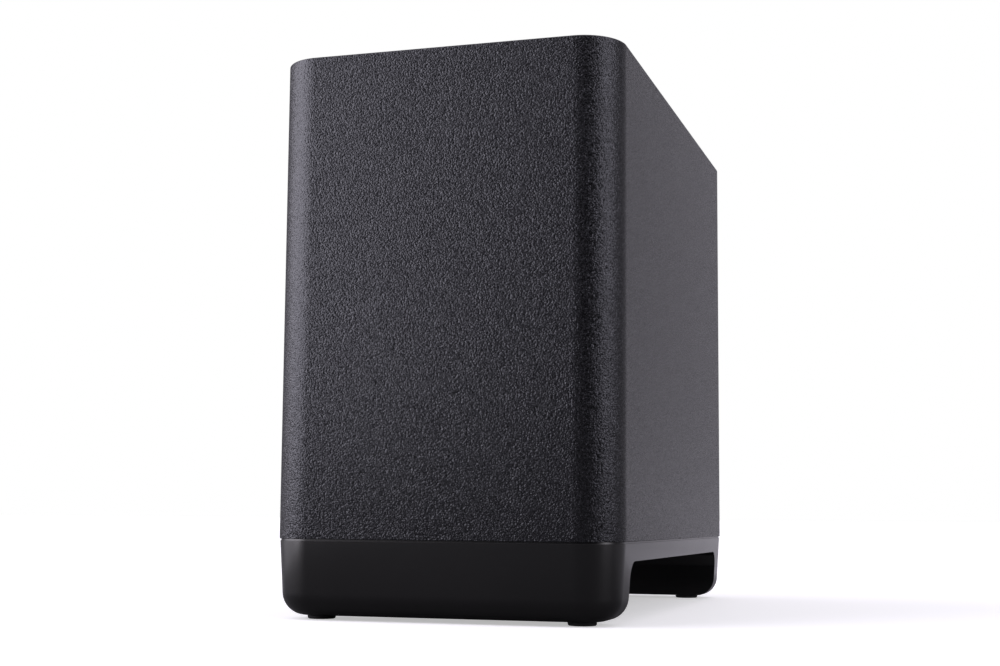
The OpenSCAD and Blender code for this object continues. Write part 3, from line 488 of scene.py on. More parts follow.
SLOT_LOOKS = {
    "grained_vinyl": lambda c: grained_vinyl(),
    "plinth_plastic": lambda c: satin_black(),
    "fibreboard": lambda c: fibreboard(),
    "wadding": lambda c: fluff("wadding", c),
    "cone_paper": lambda c: pressed_paper(),
    "cap_paper": lambda c: moulded("cap_paper", c, 0.42, 800, 0.08),
    "spider_cloth": lambda c: cloth("spider_cloth", c),
    "black_screw": lambda c: metal("black_screw", c, 0.42, metallic=0.7),
    "basket_paint": lambda c: moulded("basket_paint", c, 0.5, 2200, 0.12),
    "amp_plate_paint": lambda c: moulded("amp_plate_paint", c, 0.52, 2400, 0.14),
    "foot_rubber": lambda c: moulded("foot_rubber", c, 0.8, 1800, 0.06),
    "surround_rubber": lambda c: moulded("surround_rubber", c, 0.5, 1600, 0.04),
    "gasket_foam": lambda c: moulded("gasket_foam", c, 0.9, 1100, 0.2),
    "grommet_rubber": lambda c: moulded("grommet_rubber", c, 0.7),
    "cable_red": lambda c: moulded("cable_red", c, 0.45),
    "capacitor_sleeve": lambda c: moulded("capacitor_sleeve", c, 0.3),
    "winding_tape": lambda c: moulded("winding_tape", c, 0.4, 500, 0.15),
    "circuit_board": lambda c: circuit_board("circuit_board", c),
    "radio_board": lambda c: circuit_board("radio_board", c),
    "copper_wire": lambda c: metal("copper_wire", c, 0.3, (0.05, 0.05, 4.0), 1500),
    "braid": lambda c: metal("braid", c, 0.45, (3, 3, 3), 1500),
    "zinc_steel": lambda c: metal("zinc_steel", c, 0.34),
    "bright_screw": lambda c: metal("bright_screw", c, 0.3),
    "plated_pin": lambda c: metal("plated_pin", c, 0.2),
    "brass_spacer": lambda c: metal("brass_spacer", c, 0.28),
    "heatsink_metal": lambda c: metal("heatsink_metal", c, 0.4, (4, 4, 0.1)),
    "ferrite": lambda c: moulded("ferrite", c, 0.6, 600, 0.2),
    "core_ferrite": lambda c: moulded("core_ferrite", c, 0.55, 900, 0.1),
    "fuse_glass": lambda c: clear("fuse_glass", c, 0.08),
    "light_pipe": lambda c: clear("light_pipe", c, 0.3),
}
made_looks = {}


def look(slot):
    """The material of one of the record's slots, made once."""
    if slot not in made_looks:
        maker = SLOT_LOOKS.get(slot, lambda c: moulded(slot, c))
        made_looks[slot] = maker(slot_color(slot))
    return made_looks[slot]


# ---------- mesh helpers ----------


def to_object(name, bm, slot, body="cabinet", smooth=32):
    """Turns a bmesh into a shaded piece that rides on a body."""
    bmesh.ops.recalc_face_normals(bm, faces=bm.faces)
    mesh = bpy.data.meshes.new(name)
    bm.to_mesh(mesh)
    bm.free()
    for polygon in mesh.polygons:
        polygon.use_smooth = True
    mesh.set_sharp_from_angle(angle=math.radians(smooth))
    piece = bpy.data.objects.new(name, mesh)
    bpy.context.collection.objects.link(piece)
    if slot:
        mesh.materials.append(look(slot))
    if body:
        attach(piece, body)
    return piece


def arc(centre, radius, start, end, steps):
    """Points of an arc in a plane, angles in degrees."""
    angles = [math.radians(start + (end - start) * i / steps) for i in range(steps + 1)]
    return [(centre[0] + radius * math.cos(a), centre[1] + radius * math.sin(a)) for a in angles]


def outline(width, depth, radius, steps=24):
    """Rounded rectangle about the origin, anticlockwise."""
    x, y = width / 2 - radius, depth / 2 - radius
    corners = ((x, y, 0), (-x, y, 90), (-x, -y, 180), (x, -y, 270))
    return [p for cx, cy, a in corners for p in arc((cx, cy), radius, a, a + 90, steps)]


def upright(points, place=None):
    """Places (x, y, z) points as they are, or at a place on the back, z pointing out."""
    if place is None:
        return [Vector(p) for p in points]
    x0, y0, z0 = place
    return [Vector((x0 + x, y0 + z, z0 + y)) for x, y, z in points]


def flat(points, height):
    """(x, y) points as (x, y, z) points, all at one height."""
    return [(x, y, height) for x, y in points]


def loft(bm, loops, place=None, closed=False):
    """Skins closed loops of equal length, capped unless the last joins the first."""
    rings = [[bm.verts.new(p) for p in upright(loop, place)] for loop in loops]
    pairs = list(zip(rings, rings[1:]))
    if closed:
        pairs.append((rings[-1], rings[0]))
    count = len(rings[0])
    for a, b in pairs:
        for i in range(count):
            j = (i + 1) % count
            bm.faces.new((a[i], a[j], b[j], b[i]))
    if not closed:
        bm.faces.new(rings[0][::-1])
        bm.faces.new(rings[-1])


def lathe(bm, profile, place=None, steps=128, centre=(0, 0), closed=True):
    """Turns a profile of (radius, height) about the Z axis."""
    x0, y0 = centre
    angles = [TAU * i / steps for i in range(steps)]
    loft(bm, [
        [(x0 + radius * math.cos(a), y0 + radius * math.sin(a), height) for a in angles]
        for radius, height in profile
    ], place, closed)


def cut(piece, cutter, operation="DIFFERENCE"):
    """Applies a boolean and removes the cutter."""
    modifier = piece.modifiers.new("cut", "BOOLEAN")
    modifier.operation = operation
    modifier.solver = "EXACT"
    modifier.object = cutter
    apply_modifiers(piece)
    bpy.data.objects.remove(cutter)


def apply_modifiers(piece):
    graph = bpy.context.evaluated_depsgraph_get()
    graph.update()
    mesh = bpy.data.meshes.new_from_object(piece.evaluated_get(graph))
    old = piece.data
    piece.modifiers.clear()
    piece.data = mesh
    bpy.data.meshes.remove(old)


def soften(piece, width, angle):
    """Small rounded edges, as any moulded or cut part has."""
    bevel = piece.modifiers.new("soft_edges", "BEVEL")
    bevel.width = width
    bevel.segments = 2
    bevel.limit_method = "ANGLE"
    bevel.angle_limit = math.radians(angle)
    bevel.miter_outer = "MITER_ARC"


def tool(bm):
    """A bmesh as a plain object, used only to cut with."""
    return to_object("tool", bm, None, None)


# ---------- sizes: the frame's boxes, and the CAD's details ----------

wrap_low, wrap_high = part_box("textured_wrap")
plinth_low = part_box("plinth")[0]
walls_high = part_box("cabinet_walls")[1]
plate_low, plate_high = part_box("amp_plate")
flare_low, flare_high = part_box("port_flare")
WIDTH = wrap_high.x - wrap_low.x
DEPTH = wrap_high.y - wrap_low.y
TOP = wrap_high.z
SEAM = wrap_low.z
SKIN = wrap_high.x - walls_high.x
BACK = wrap_high.y
CORNER = 28 * MM
PLINTH_TOP = SEAM - 1 * MM
PLINTH_BOTTOM = plinth_low.z
PLINTH_INSET = plinth_low.x - wrap_low.x
PLINTH_WALL = 3 * MM
FILLET = 15 * MM
DRAFT = 2 * MM
TUNNEL_FRONT = wrap_low.y + 45 * MM
TUNNEL_REAR = wrap_high.y - 42 * MM
TUNNEL_TOP = PLINTH_BOTTOM + 36.2 * MM
TUNNEL_R = 12 * MM
TUNNEL_REACH = 0.2
LEG_WELL_X = 35 * MM
LEG_WELL_IN = 26 * MM
LEG_WELL_R = 7 * MM
INNER_WELLS = (95 * MM, 112 * MM)
INNER_WELL_R = 6.5 * MM
WELL_BORE_R = 4.5 * MM
LEG_WELL_END = SEAM - 8 * MM
INNER_WELL_END = TUNNEL_TOP + 3 * MM
COLLAR_GAP = 4 * MM
FIT_GAP = 0.3 * MM
RECESS = 6 * MM
PLATE_R = 6 * MM
PLATE_WIDTH = plate_high.x - plate_low.x
PLATE_HEIGHT = plate_high.z - plate_low.z
PLATE_Z = (plate_low.z + plate_high.z) / 2
PLATE_FACE = BACK - 2 * MM
PLATE_SCREWS_IN = 5 * MM
CHAMBER_SCREWS_IN = 18 * MM
CONTROLS_Z = -60 * MM
BUTTON_R = 3.5 * MM
PORT_R = 25 * MM
PORT_LIP = 9 * MM
PORT_Z = (flare_low.z + flare_high.z) / 2
FLARE_R = (flare_high.x - flare_low.x) / 2
DRIVER_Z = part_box("driver_gasket")[0].z
SCREW_R = 1.9 * MM
SCREW_HEAD_R = 3.5 * MM
THREAD_PITCH = 1.1 * MM
# Widths in mm of the small bevels on pieces that keep their CAD shape
EDGES = {
    "cabinet_walls": 0.5, "top_panel": 0.5, "bottom_baffle": 0.5, "brace_panel": 0.8,
    "driver_basket": 0.35, "driver_terminal": 0.15, "ac_inlet": 0.3, "amp_chamber": 0.5,
    "main_board": 0.2, "power_transformer": 0.4, "heatsink": 0.2, "amp_chip": 0.15,
    "wireless_module": 0.15, "top_plate": 0.4, "ferrite_magnet": 1.0, "pole_yoke": 0.5,
    "bulk_capacitors": 0.8, "small_capacitors": 0.5, "speaker_connector": 0.3, "sync_switch": 0.2,
    "inlet_pins": 0.2, "driver_gasket": 0.2, "amp_gasket": 0.2, "board_standoffs": 0.15,
}


def inset_loop(inset, height):
    """The cabinet's outline drawn in by an inset, at a height."""
    return flat(outline(WIDTH - 2 * inset, DEPTH - 2 * inset, CORNER - inset), height)


# ---------- cabinet ----------


def make_wrap():
    low_edge, top_edge = 0.5 * MM, 1.1 * MM
    path = [(SKIN, TOP - SKIN), (SKIN, SEAM)]
    path += [(low_edge - x, z) for x, z in arc((0, SEAM + low_edge), low_edge, 270, 360, 4)]
    path += [(top_edge - x, z) for x, z in arc((0, TOP - top_edge), top_edge, 0, 90, 6)]
    bm = bmesh.new()
    loft(bm, [inset_loop(i, z) for i, z in path])
    wrap = to_object("cabinet_wrap", bm, "grained_vinyl")
    bm = bmesh.new()
    opening = outline(PLATE_WIDTH + 2 * FIT_GAP, PLATE_HEIGHT + 2 * FIT_GAP, PLATE_R + FIT_GAP, 8)
    loft(bm, [flat(opening, z) for z in (-RECESS, RECESS)], (0, BACK, PLATE_Z))
    cut(wrap, tool(bm))
    bm = bmesh.new()
    radius = FLARE_R + FIT_GAP
    lathe(bm, [(radius, -RECESS), (radius, RECESS)], (0, BACK, PORT_Z), 96, closed=False)
    cut(wrap, tool(bm))
    wrap.data.set_sharp_from_angle(angle=math.radians(32))
    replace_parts(wrap, "textured_wrap")


# ---------- plinth ----------


def plinth_path(thin, top):
    """(inset, height) points up the plinth's edge, thinned by a wall thickness."""
    straight = PLINTH_TOP - PLINTH_BOTTOM - FILLET
    angle = math.atan(DRAFT / straight)
    centre_z = PLINTH_BOTTOM + FILLET
    rise = straight + FILLET * math.sin(angle)
    centre_inset = PLINTH_INSET + rise * math.tan(angle) + FILLET * math.cos(angle)
    radius = FILLET - thin
    curve = arc((0, 0), radius, 270, 360 - math.degrees(angle), 14)
    path = [(centre_inset - x, centre_z + z) for x, z in curve]
    top_inset = PLINTH_INSET + thin / math.cos(angle) - (top - PLINTH_TOP) * math.tan(angle)
    return path + [(top_inset, top)]


def tunnel_bm(grow, reach):
    """Side-to-side block of the openings' outline."""
    radius = TUNNEL_R + grow
    low, high, top = TUNNEL_FRONT - grow, TUNNEL_REAR + grow, TUNNEL_TOP + grow
    points = [(low, -20 * MM), (high, -20 * MM)]
    points += arc((high - radius, top - radius), radius, 0, 90, 16)
    points += arc((low + radius, top - radius), radius, 90, 180, 16)
    bm = bmesh.new()
    loft(bm, [[(x, y, z) for y, z in points] for x in (-reach, reach)])
    return bm


def cylinder_bm(radius, low, high, centre=(0, 0), steps=64):
    bm = bmesh.new()
    lathe(bm, [(radius, low), (radius, high)], None, steps, centre, closed=False)
    return bm


def four(x, y):
    """The four points at plus and minus x and y."""
    return [(sx * x, sy * y) for sx in (-1, 1) for sy in (-1, 1)]


def make_plinth():
    edge, well_top = 0.2 * MM, PLINTH_TOP - 0.3 * MM
    leg_wells = four(LEG_WELL_X, DEPTH / 2 - LEG_WELL_IN)
    inner_wells = four(*INNER_WELLS)
    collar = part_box("driver_basket")[1].x + COLLAR_GAP
    bm = bmesh.new()
    path = plinth_path(0, PLINTH_TOP - edge)
    curve = arc((0, 0), edge, 0, 90, 3)
    path += [(PLINTH_INSET + edge - x, PLINTH_TOP - edge + z) for x, z in curve]
    loft(bm, [inset_loop(i, z) for i, z in path])
    plinth = to_object("plinth_moulding", bm, "plinth_plastic")
    bm = bmesh.new()
    loft(bm, [inset_loop(i, z) for i, z in plinth_path(PLINTH_WALL, PLINTH_TOP + 2 * MM)])
    hollow = tool(bm)
    cut(hollow, tool(tunnel_bm(PLINTH_WALL, TUNNEL_REACH)))
    cut(plinth, hollow)
    wall = cylinder_bm(collar + PLINTH_WALL, TUNNEL_TOP, PLINTH_TOP - 0.5 * MM, steps=128)
    cut(plinth, tool(wall), "UNION")
    for at in leg_wells:
        well = cylinder_bm(LEG_WELL_R, PLINTH_BOTTOM + 1 * MM, well_top, at)
        cut(plinth, tool(well), "UNION")
    for at in inner_wells:
        well = cylinder_bm(INNER_WELL_R, TUNNEL_TOP + 1 * MM, well_top, at)
        cut(plinth, tool(well), "UNION")
    cut(plinth, tool(tunnel_bm(0, TUNNEL_REACH)))
    cut(plinth, tool(cylinder_bm(collar, TUNNEL_TOP - 5 * MM, PLINTH_TOP + 5 * MM, steps=128)))
    for at in leg_wells:
        cut(plinth, tool(cylinder_bm(WELL_BORE_R, PLINTH_BOTTOM - 1 * MM, LEG_WELL_END, at)))
    for at in inner_wells:
        cut(plinth, tool(cylinder_bm(WELL_BORE_R, TUNNEL_TOP - 1 * MM, INNER_WELL_END, at)))
    bm = bmesh.new()
    bm.from_mesh(plinth.data)
    lip_out, lip_in, lip_low = 1.1 * MM, 5 * MM, PLINTH_TOP - 1 * MM
    lip = [(lip_out, lip_low), (lip_out, SEAM), (lip_in, SEAM), (lip_in, lip_low)]
    loft(bm, [inset_loop(i, z) for i, z in lip], closed=True)
    bm.to_mesh(plinth.data)
    bm.free()
    plinth.data.set_sharp_from_angle(angle=math.radians(30))
    soften(plinth, 0.45 * MM, 30)
    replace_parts(plinth, "plinth")


def make_foot(name):
    low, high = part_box(name)
    centre = ((low.x + high.x) / 2, (low.y + high.y) / 2)
    radius, height = (high.x - low.x) / 2, PLINTH_BOTTOM
    edge, neck, neck_top = 1.1 * MM, 4 * MM, height + 3 * MM
    profile = [(0.0, 0.25 * MM), (5.2 * MM, 0.25 * MM), (5.6 * MM, 0.0), (radius - edge, 0.0)]
    profile += arc((radius - edge, edge), edge, 285, 360, 5)
    profile += [(radius, height - 0.3 * MM), (radius - 0.3 * MM, height), (neck, height)]
    profile += [(neck, neck_top), (5 * MM, neck_top), (3.5 * MM, high.z), (0.0, high.z)]
    bm = bmesh.new()
    lathe(bm, profile, None, 64, centre, closed=False)
    bmesh.ops.remove_doubles(bm, verts=bm.verts, dist=1e-6)
    foot = to_object(name + "_rubber", bm, "foot_rubber")
    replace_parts(foot, name)


# ---------- screws ----------


def screw_bm(length):
    """Pan head screw with a cross recess: seat at the origin, point down -Z."""
    head, shank, tip = SCREW_HEAD_R, SCREW_R, 2 * MM
    thread_top, thread_depth = -1.2 * MM, 0.35 * MM
    rim, dome, dome_steps = 0.6 * MM, 1.2 * MM, 8
    profile = [(0.0, -length), (0.3 * MM, -length), (shank, tip - length)]
    for i in range(int((length - tip + thread_top) / THREAD_PITCH)):
        z = tip - length + i * THREAD_PITCH
        profile += [(shank, z + 0.1 * MM), (shank - thread_depth, z + 0.5 * THREAD_PITCH)]
    profile += [(shank, thread_top), (shank, 0.0)]
    profile += [(head - 0.2 * MM, 0.0), (head, 0.2 * MM), (head, rim)]
    for i in range(1, dome_steps + 1):
        turn = math.radians(90 * i / dome_steps)
        radius = head * math.cos(turn) ** 0.8 if i < dome_steps else 0.0
        profile.append((radius, rim + dome * math.sin(turn)))
    bm = bmesh.new()
    lathe(bm, profile, None, 40, closed=False)
    bmesh.ops.remove_doubles(bm, verts=bm.verts, dist=1e-7)
    piece = tool(bm)
    recess_long, recess_wide, taper = 1.9 * MM, 0.42 * MM, 0.6
    recess_floor, recess_open = 0.75 * MM, 2.5 * MM
    for x, y in ((recess_long, recess_wide), (recess_wide, recess_long)):
        bm = bmesh.new()
        loft(bm, [
            flat(((-x * k, -y * k), (x * k, -y * k), (x * k, y * k), (-x * k, y * k)), z)
            for k, z in ((taper, recess_floor), (1.0, recess_open))
        ])
        cut(piece, tool(bm))
    bm = bmesh.new()
    bm.from_mesh(piece.data)
    bpy.data.objects.remove(piece)
    return bm


def make_screws(node, name, length, places, turn):
    """A group of screws at points, each turned a little differently."""
    one = screw_bm(length)
    single = bpy.data.meshes.new("one_screw")
    one.to_mesh(single)
    one.free()
    bm = bmesh.new()
    for i, place in enumerate(places):
        before = len(bm.verts)
        bm.from_mesh(single)
        bm.verts.ensure_lookup_table()
        spin = Matrix.Rotation(math.radians(37 * i), 4, "Z")
        matrix = Matrix.Translation(place) @ turn @ spin
        bmesh.ops.transform(bm, matrix=matrix, verts=bm.verts[before:])
    bpy.data.meshes.remove(single)
    screws = to_object(name, bm, "black_screw")
    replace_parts(screws, node)


def plate_screws():
    """(x, z) of the screws along the plate's edge, from its middle."""
    x, z = PLATE_WIDTH / 2 - PLATE_SCREWS_IN, PLATE_HEIGHT / 2 - PLATE_SCREWS_IN
    return four(x, z) + four(x, z / 3) + [(0, -z), (0, z)]


def chamber_screws():
    """(x, z) of the screws that hold the chamber behind the plate."""
    return four(PLATE_WIDTH / 2 - CHAMBER_SCREWS_IN, PLATE_HEIGHT / 2 - CHAMBER_SCREWS_IN)


def make_screw_groups():
    """The driver's, plate's and chamber's screws; the others keep their CAD shape."""
    down = Matrix.Rotation(math.pi, 4, "X")
    out = Matrix.Rotation(-math.pi / 2, 4, "X")
    turns = [math.radians(22.5 + 45 * i) for i in range(8)]
    ring_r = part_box("driver_basket")[1].x - 5.5 * MM
    seat = DRIVER_Z - 3 * MM
    spots = [(ring_r * math.cos(a), ring_r * math.sin(a), seat) for a in turns]
    make_screws("driver_screws", "driver_screw_set", 14 * MM, spots, down)
    spots = [(x, PLATE_FACE, PLATE_Z + z) for x, z in plate_screws()]
    make_screws("amp_screws", "amp_screw_set", 9 * MM, spots, out)
    spots = [(x, PLATE_FACE, PLATE_Z + z) for x, z in chamber_screws()]
    make_screws("chamber_screws", "chamber_screw_set", 15 * MM, spots, out)


# ---------- port ----------


def make_port():
    place = (0, BACK, PORT_Z)
    bore, mouth, rim = PORT_R, PORT_R + PORT_LIP, FLARE_R
    socket_end = BACK - flare_low.y
    socket, socket_r, barrel = 14 * MM, bore + 2.6 * MM, bore + 5.5 * MM
    flange, edge = 2.5 * MM, 0.6 * MM
    profile = [(rim, -flange), (rim, -edge)]
    profile += arc((rim - edge, -edge), edge, 0, 90, 4)
    profile += [(mouth + 1.2 * MM, 0.0), (mouth + 0.7 * MM, -0.25 * MM), (mouth + 0.2 * MM, 0.0)]
    profile += arc((mouth, -PORT_LIP), PORT_LIP, 92, 180, 22)
    profile += [(bore, -socket), (socket_r, -socket), (socket_r, -socket_end)]
    profile += [(barrel, -socket_end), (barrel, -PORT_LIP), (mouth, -PORT_LIP), (mouth, -flange)]
    bm = bmesh.new()
    lathe(bm, profile, place, 160)
    flare = to_object("port_mouth", bm, "port_plastic")
    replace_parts(flare, "port_flare")
    tube_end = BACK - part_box("port_tube")[0].y
    bell, outside = 6 * MM, bore + 2.5 * MM
    bell_z = bell - tube_end
    profile = [(bore, -socket), (bore, bell_z)]
    profile += arc((bore + bell, bell_z), bell, 180, 270, 12)
    profile += [(bore + bell, bell_z), (outside, bell_z), (outside, -socket)]
    bm = bmesh.new()
    lathe(bm, profile, place, 128)
    tube = to_object("port_pipe", bm, "port_plastic")
    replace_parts(tube, "port_tube")


# ---------- amplifier plate and what is on it ----------


def make_amp_plate():
    place = (0, PLATE_FACE, PLATE_Z)
    thick, edge = 3 * MM, 0.5 * MM
    rings = [(0.3 * MM, -thick), (0.0, 0.3 * MM - thick)]
    rings += [(edge - x, z - edge) for x, z in arc((0, 0), edge, 0, 90, 4)]
    bm = bmesh.new()
    loft(bm, [
        flat(outline(PLATE_WIDTH - 2 * i, PLATE_HEIGHT - 2 * i, PLATE_R - i, 10), z)
        for i, z in rings
    ], place)
    plate = to_object("amp_plate_casting", bm, "amp_plate_paint")
    button_low, button_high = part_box("sync_button")
    pipe_low, pipe_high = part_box("led_light_pipe")
    button_x, pipe_x = (button_low.x + button_high.x) / 2, (pipe_low.x + pipe_high.x) / 2
    holes = [(x, z, SCREW_R + FIT_GAP) for x, z in plate_screws() + chamber_screws()]
    holes.append((button_x, CONTROLS_Z, BUTTON_R + FIT_GAP))
    holes.append((pipe_x, CONTROLS_Z, (pipe_high.x - pipe_low.x) / 2))
    for x, z, radius in holes:
        bm = bmesh.new()
        profile = [(radius, -thick - MM), (radius, -0.35 * MM), (radius + 0.5 * MM, 0.15 * MM)]
        lathe(bm, profile, (x, PLATE_FACE, PLATE_Z + z), 40, closed=False)
        cut(plate, tool(bm))
    inlet_low, inlet_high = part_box("ac_inlet")
    spot = ((inlet_low.x + inlet_high.x) / 2, PLATE_FACE, PLATE_Z + CONTROLS_Z)
    opening = outline(22 * MM, 14 * MM, 0.4 * MM, 3)
    bm = bmesh.new()
    loft(bm, [flat(opening, z) for z in (-thick - MM, MM)], spot)
    cut(plate, tool(bm))
    bm = bmesh.new()
    bm.from_mesh(plate.data)
    rib_length, rib_width, rib_step, ribs, ribs_up = 80 * MM, 1.6 * MM, 10 * MM, 11, 35 * MM
    rib = []
    for inset, z in ((0.0, -0.5), (0.0, 0.1), (0.12, 0.8), (0.25, 1.05), (0.5, 1.2)):
        width, length = rib_width - 2 * inset * MM, rib_length - 2 * inset * MM
        rib.append(flat(outline(width, length, width / 2 - 0.05 * MM, 6), z * MM))
    for i in range(ribs):
        loft(bm, rib, ((i - (ribs - 1) / 2) * rib_step, PLATE_FACE, PLATE_Z + ribs_up))
    bm.to_mesh(plate.data)
    bm.free()
    for polygon in plate.data.polygons:
        polygon.use_smooth = True
    plate.data.set_sharp_from_angle(angle=math.radians(28))
    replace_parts(plate, "amp_plate")


def make_button_and_light():
    low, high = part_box("sync_button")
    place = ((low.x + high.x) / 2, PLATE_FACE, PLATE_Z + CONTROLS_Z)
    stem_end, proud, edge = low.y - PLATE_FACE, high.y - PLATE_FACE, 0.5 * MM
    stem, cap_end = 1.4 * MM, -7 * MM
    collar, collar_low, collar_high = 4.8 * MM, -4.3 * MM, -3.2 * MM
    profile = [(0.0, stem_end), (stem, stem_end), (stem, cap_end), (BUTTON_R, cap_end)]
    profile += [(BUTTON_R, collar_low), (collar, collar_low)]
    profile += [(collar, collar_high), (BUTTON_R, collar_high)]
    profile += arc((BUTTON_R - edge, proud - edge), edge, 0, 90, 5)
    dish = ((2.2, 0.12), (1.1, 0.24), (0.0, 0.28))
    profile += [(r * MM, proud - depth * MM) for r, depth in dish]
    bm = bmesh.new()
    lathe(bm, profile, place, 64, closed=False)
    bmesh.ops.remove_doubles(bm, verts=bm.verts, dist=1e-7)
    button = to_object("pairing_button_cap", bm, "button_plastic", "pairing_button")
    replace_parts(button, "sync_button")
    low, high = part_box("led_light_pipe")
    radius = (high.x - low.x) / 2
    place = ((low.x + high.x) / 2, PLATE_FACE, PLATE_Z + CONTROLS_Z)
    end, proud = low.y - PLATE_FACE, high.y - PLATE_FACE
    profile = [(0.0, end), (radius - 0.2 * MM, end), (radius, end + 0.2 * MM), (radius, 0.0)]
    profile += [(radius * math.cos(a), proud * math.sin(a)) for a in (0.3, 0.6, 0.9, 1.2)]
    profile += [(0.0, proud)]
    bm = bmesh.new()
    lathe(bm, profile, place, 40, closed=False)
    bmesh.ops.remove_doubles(bm, verts=bm.verts, dist=1e-7)
    pipe = to_object("status_light_pipe", bm, "light_pipe")
    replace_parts(pipe, "led_light_pipe")


# ---------- driver ----------


def radial_blend(piece, fixed_r, moving_r):
    """Lets a disc's edge stay with the cabinet while its other edge goes with the cone."""
    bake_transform(piece, "cabinet", "cone_assembly", (fixed_r, 0, DRIVER_Z), (moving_r, 0, DRIVER_Z))
    weights = piece.data.attributes["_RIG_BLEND"].data
    for vertex, weight in zip(piece.data.vertices, weights):
        radius = math.hypot(vertex.co.x, vertex.co.y)
        share = min(1.0, max(0.0, (fixed_r - radius) / (fixed_r - moving_r)))
        weight.value = share * share * (3 - 2 * share)


def disc(name, profile, slot, body="cabinet", closed=True):
    """A turned piece of the driver, heights counted from the driver's seat."""
    bm = bmesh.new()
    lathe(bm, [(r, DRIVER_Z + z) for r, z in profile], None, 160, closed=closed)
    if not closed:
        bmesh.ops.remove_doubles(bm, verts=bm.verts, dist=1e-7)
    return to_object(name, bm, slot, body, 40)


def make_surround():
    lip_r, out_r, in_r, glue_r = 79.5 * MM, 72.5 * MM, 58.1 * MM, 53.1 * MM
    low, high, skin, edge = -3.8 * MM, -3.0 * MM, 0.36 * MM, 0.1 * MM
    centre = ((out_r + in_r) / 2, (low + high) / 2)
    roll = (out_r - in_r) / 2
    profile = [(lip_r, high - edge), (lip_r, low + edge), (lip_r - edge, low)]
    profile += [(out_r + 1.3 * MM, low), (out_r + 0.9 * MM, low - 0.05 * MM)]
    profile += arc(centre, roll + skin, -4, -176, 44)
    profile += [(in_r - 0.9 * MM, low - 0.05 * MM), (in_r - 1.3 * MM, low)]
    profile += [(glue_r + edge, low), (glue_r, low + edge), (glue_r, high - edge)]
    profile += [(glue_r + edge, high), (in_r, high)]
    profile += arc(centre, roll - skin, -176, -4, 44)
    profile += [(out_r, high), (lip_r - edge, high)]
    surround = disc("surround_roll", profile, "surround_rubber", None)
    radial_blend(surround, out_r, in_r)
    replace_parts(surround, "surround")


def make_spider():
    neck_r, wave_in, wave_out, rim_r = 25.4 * MM, 27.4 * MM, 55.2 * MM, 61 * MM
    middle, skin, tall, waves, steps = 28.9 * MM, 0.28 * MM, 1.6 * MM, 5, 120
    line = [(neck_r, middle)]
    for i in range(steps + 1):
        radius = wave_in + (wave_out - wave_in) * i / steps
        line.append((radius, middle + tall * math.sin(TAU * waves * i / steps)))
    line.append((rim_r, middle))
    profile = [(r, z - skin) for r, z in line] + [(r, z + skin) for r, z in reversed(line)]
    spider = disc("spider_disc", profile, "spider_cloth", None)
    radial_blend(spider, wave_out, wave_in)
    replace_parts(spider, "spider")


def make_cone():
    rim_out, rim_in, neck_r = 58 * MM, 53.5 * MM, 25.4 * MM
    rim_z, neck_z, thick = -3 * MM, 18.3 * MM, 0.9 * MM
    steps, ribs, rib = 72, 5, 0.22 * MM
    below, above = [], []
    for i in range(steps + 1):
        t = i / steps
        ripple = rib * max(0.0, math.sin(TAU * ribs * t)) ** 2
        r, z = rim_in + (neck_r - rim_in) * t, rim_z + (neck_z - rim_z) * t
        below.append((r, z + ripple))
        above.append((r, z + thick + 0.1 * MM + ripple))
    profile = [(rim_out, rim_z + 0.2 * MM), (rim_out - 0.2 * MM, rim_z)] + below + above[::-1]
    profile += [(rim_in + 0.8 * MM, rim_z + thick), (rim_out - 0.2 * MM, rim_z + thick)]
    profile += [(rim_out, rim_z + thick - 0.2 * MM)]
    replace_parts(disc("cone_body", profile, "cone_paper", "cone_assembly"), "cone")


def make_dust_cap():
    low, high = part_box("dust_cap")
    rise, radius = high.z - low.z, 28 * MM
    ball = (radius * radius + rise * rise) / (2 * rise)
    base = low.z - DRIVER_Z
    lean = math.asin((radius - 0.3 * MM) / ball)
    steps = 28
    angles = [lean * i / steps for i in range(steps + 1)]
    below = [(ball * math.sin(a), base + ball * (1 - math.cos(a))) for a in angles]
    inner = ball - 0.75 * MM
    above = [(inner * math.sin(a), base + ball - inner * math.cos(a)) for a in angles]
    edge_r, edge_z = below[-1]
    profile = below + [(edge_r + 0.1 * MM, edge_z + 0.15 * MM)] + above[::-1]
    dome = disc("dust_cap_dome", profile, "cap_paper", "cone_assembly", closed=False)
    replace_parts(dome, "dust_cap")


def make_trim_ring():
    in_r, out_r, low, high, edge = 73 * MM, 80 * MM, -5.3 * MM, -3.8 * MM, 0.45 * MM
    profile = [(out_r, high)] + arc((out_r - edge, low + edge), edge, 0, -90, 5)
    profile += [(out_r - 2.4 * MM, low), (out_r - 2.7 * MM, low + 0.25 * MM)]
    profile += [(out_r - 3.0 * MM, low)]
    profile += arc((in_r + 1.0 * MM, low + 1.0 * MM), 1.0 * MM, -90, -180, 6) + [(in_r, high)]
    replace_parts(disc("trim_ring_moulding", profile, "gasket_foam"), "trim_ring")


def tube_along(bm, points, radius, sides, twist, lobes, lobe):
    """Sweeps a lobed, twisting section along a line of points."""
    rings = []
    for i, point in enumerate(points):
        ahead = (points[min(i + 1, len(points) - 1)] - points[max(i - 1, 0)]).normalized()
        side = ahead.cross(Vector((0, 0, 1))).normalized()
        up = side.cross(ahead)
        ring = []
        for k in range(sides):
            angle = TAU * k / sides
            reach = radius * (1 - lobe + lobe * math.cos(lobes * (angle + twist * i)))
            x, y = reach * math.cos(angle), reach * math.sin(angle)
            ring.append(bm.verts.new(point + side * x + up * y))
        rings.append(ring)
    for a, b in zip(rings, rings[1:]):
        for k in range(sides):
            j = (k + 1) % sides
            bm.faces.new((a[k], a[j], b[j], b[k]))
    bm.faces.new(rings[0][::-1])
    bm.faces.new(rings[-1])


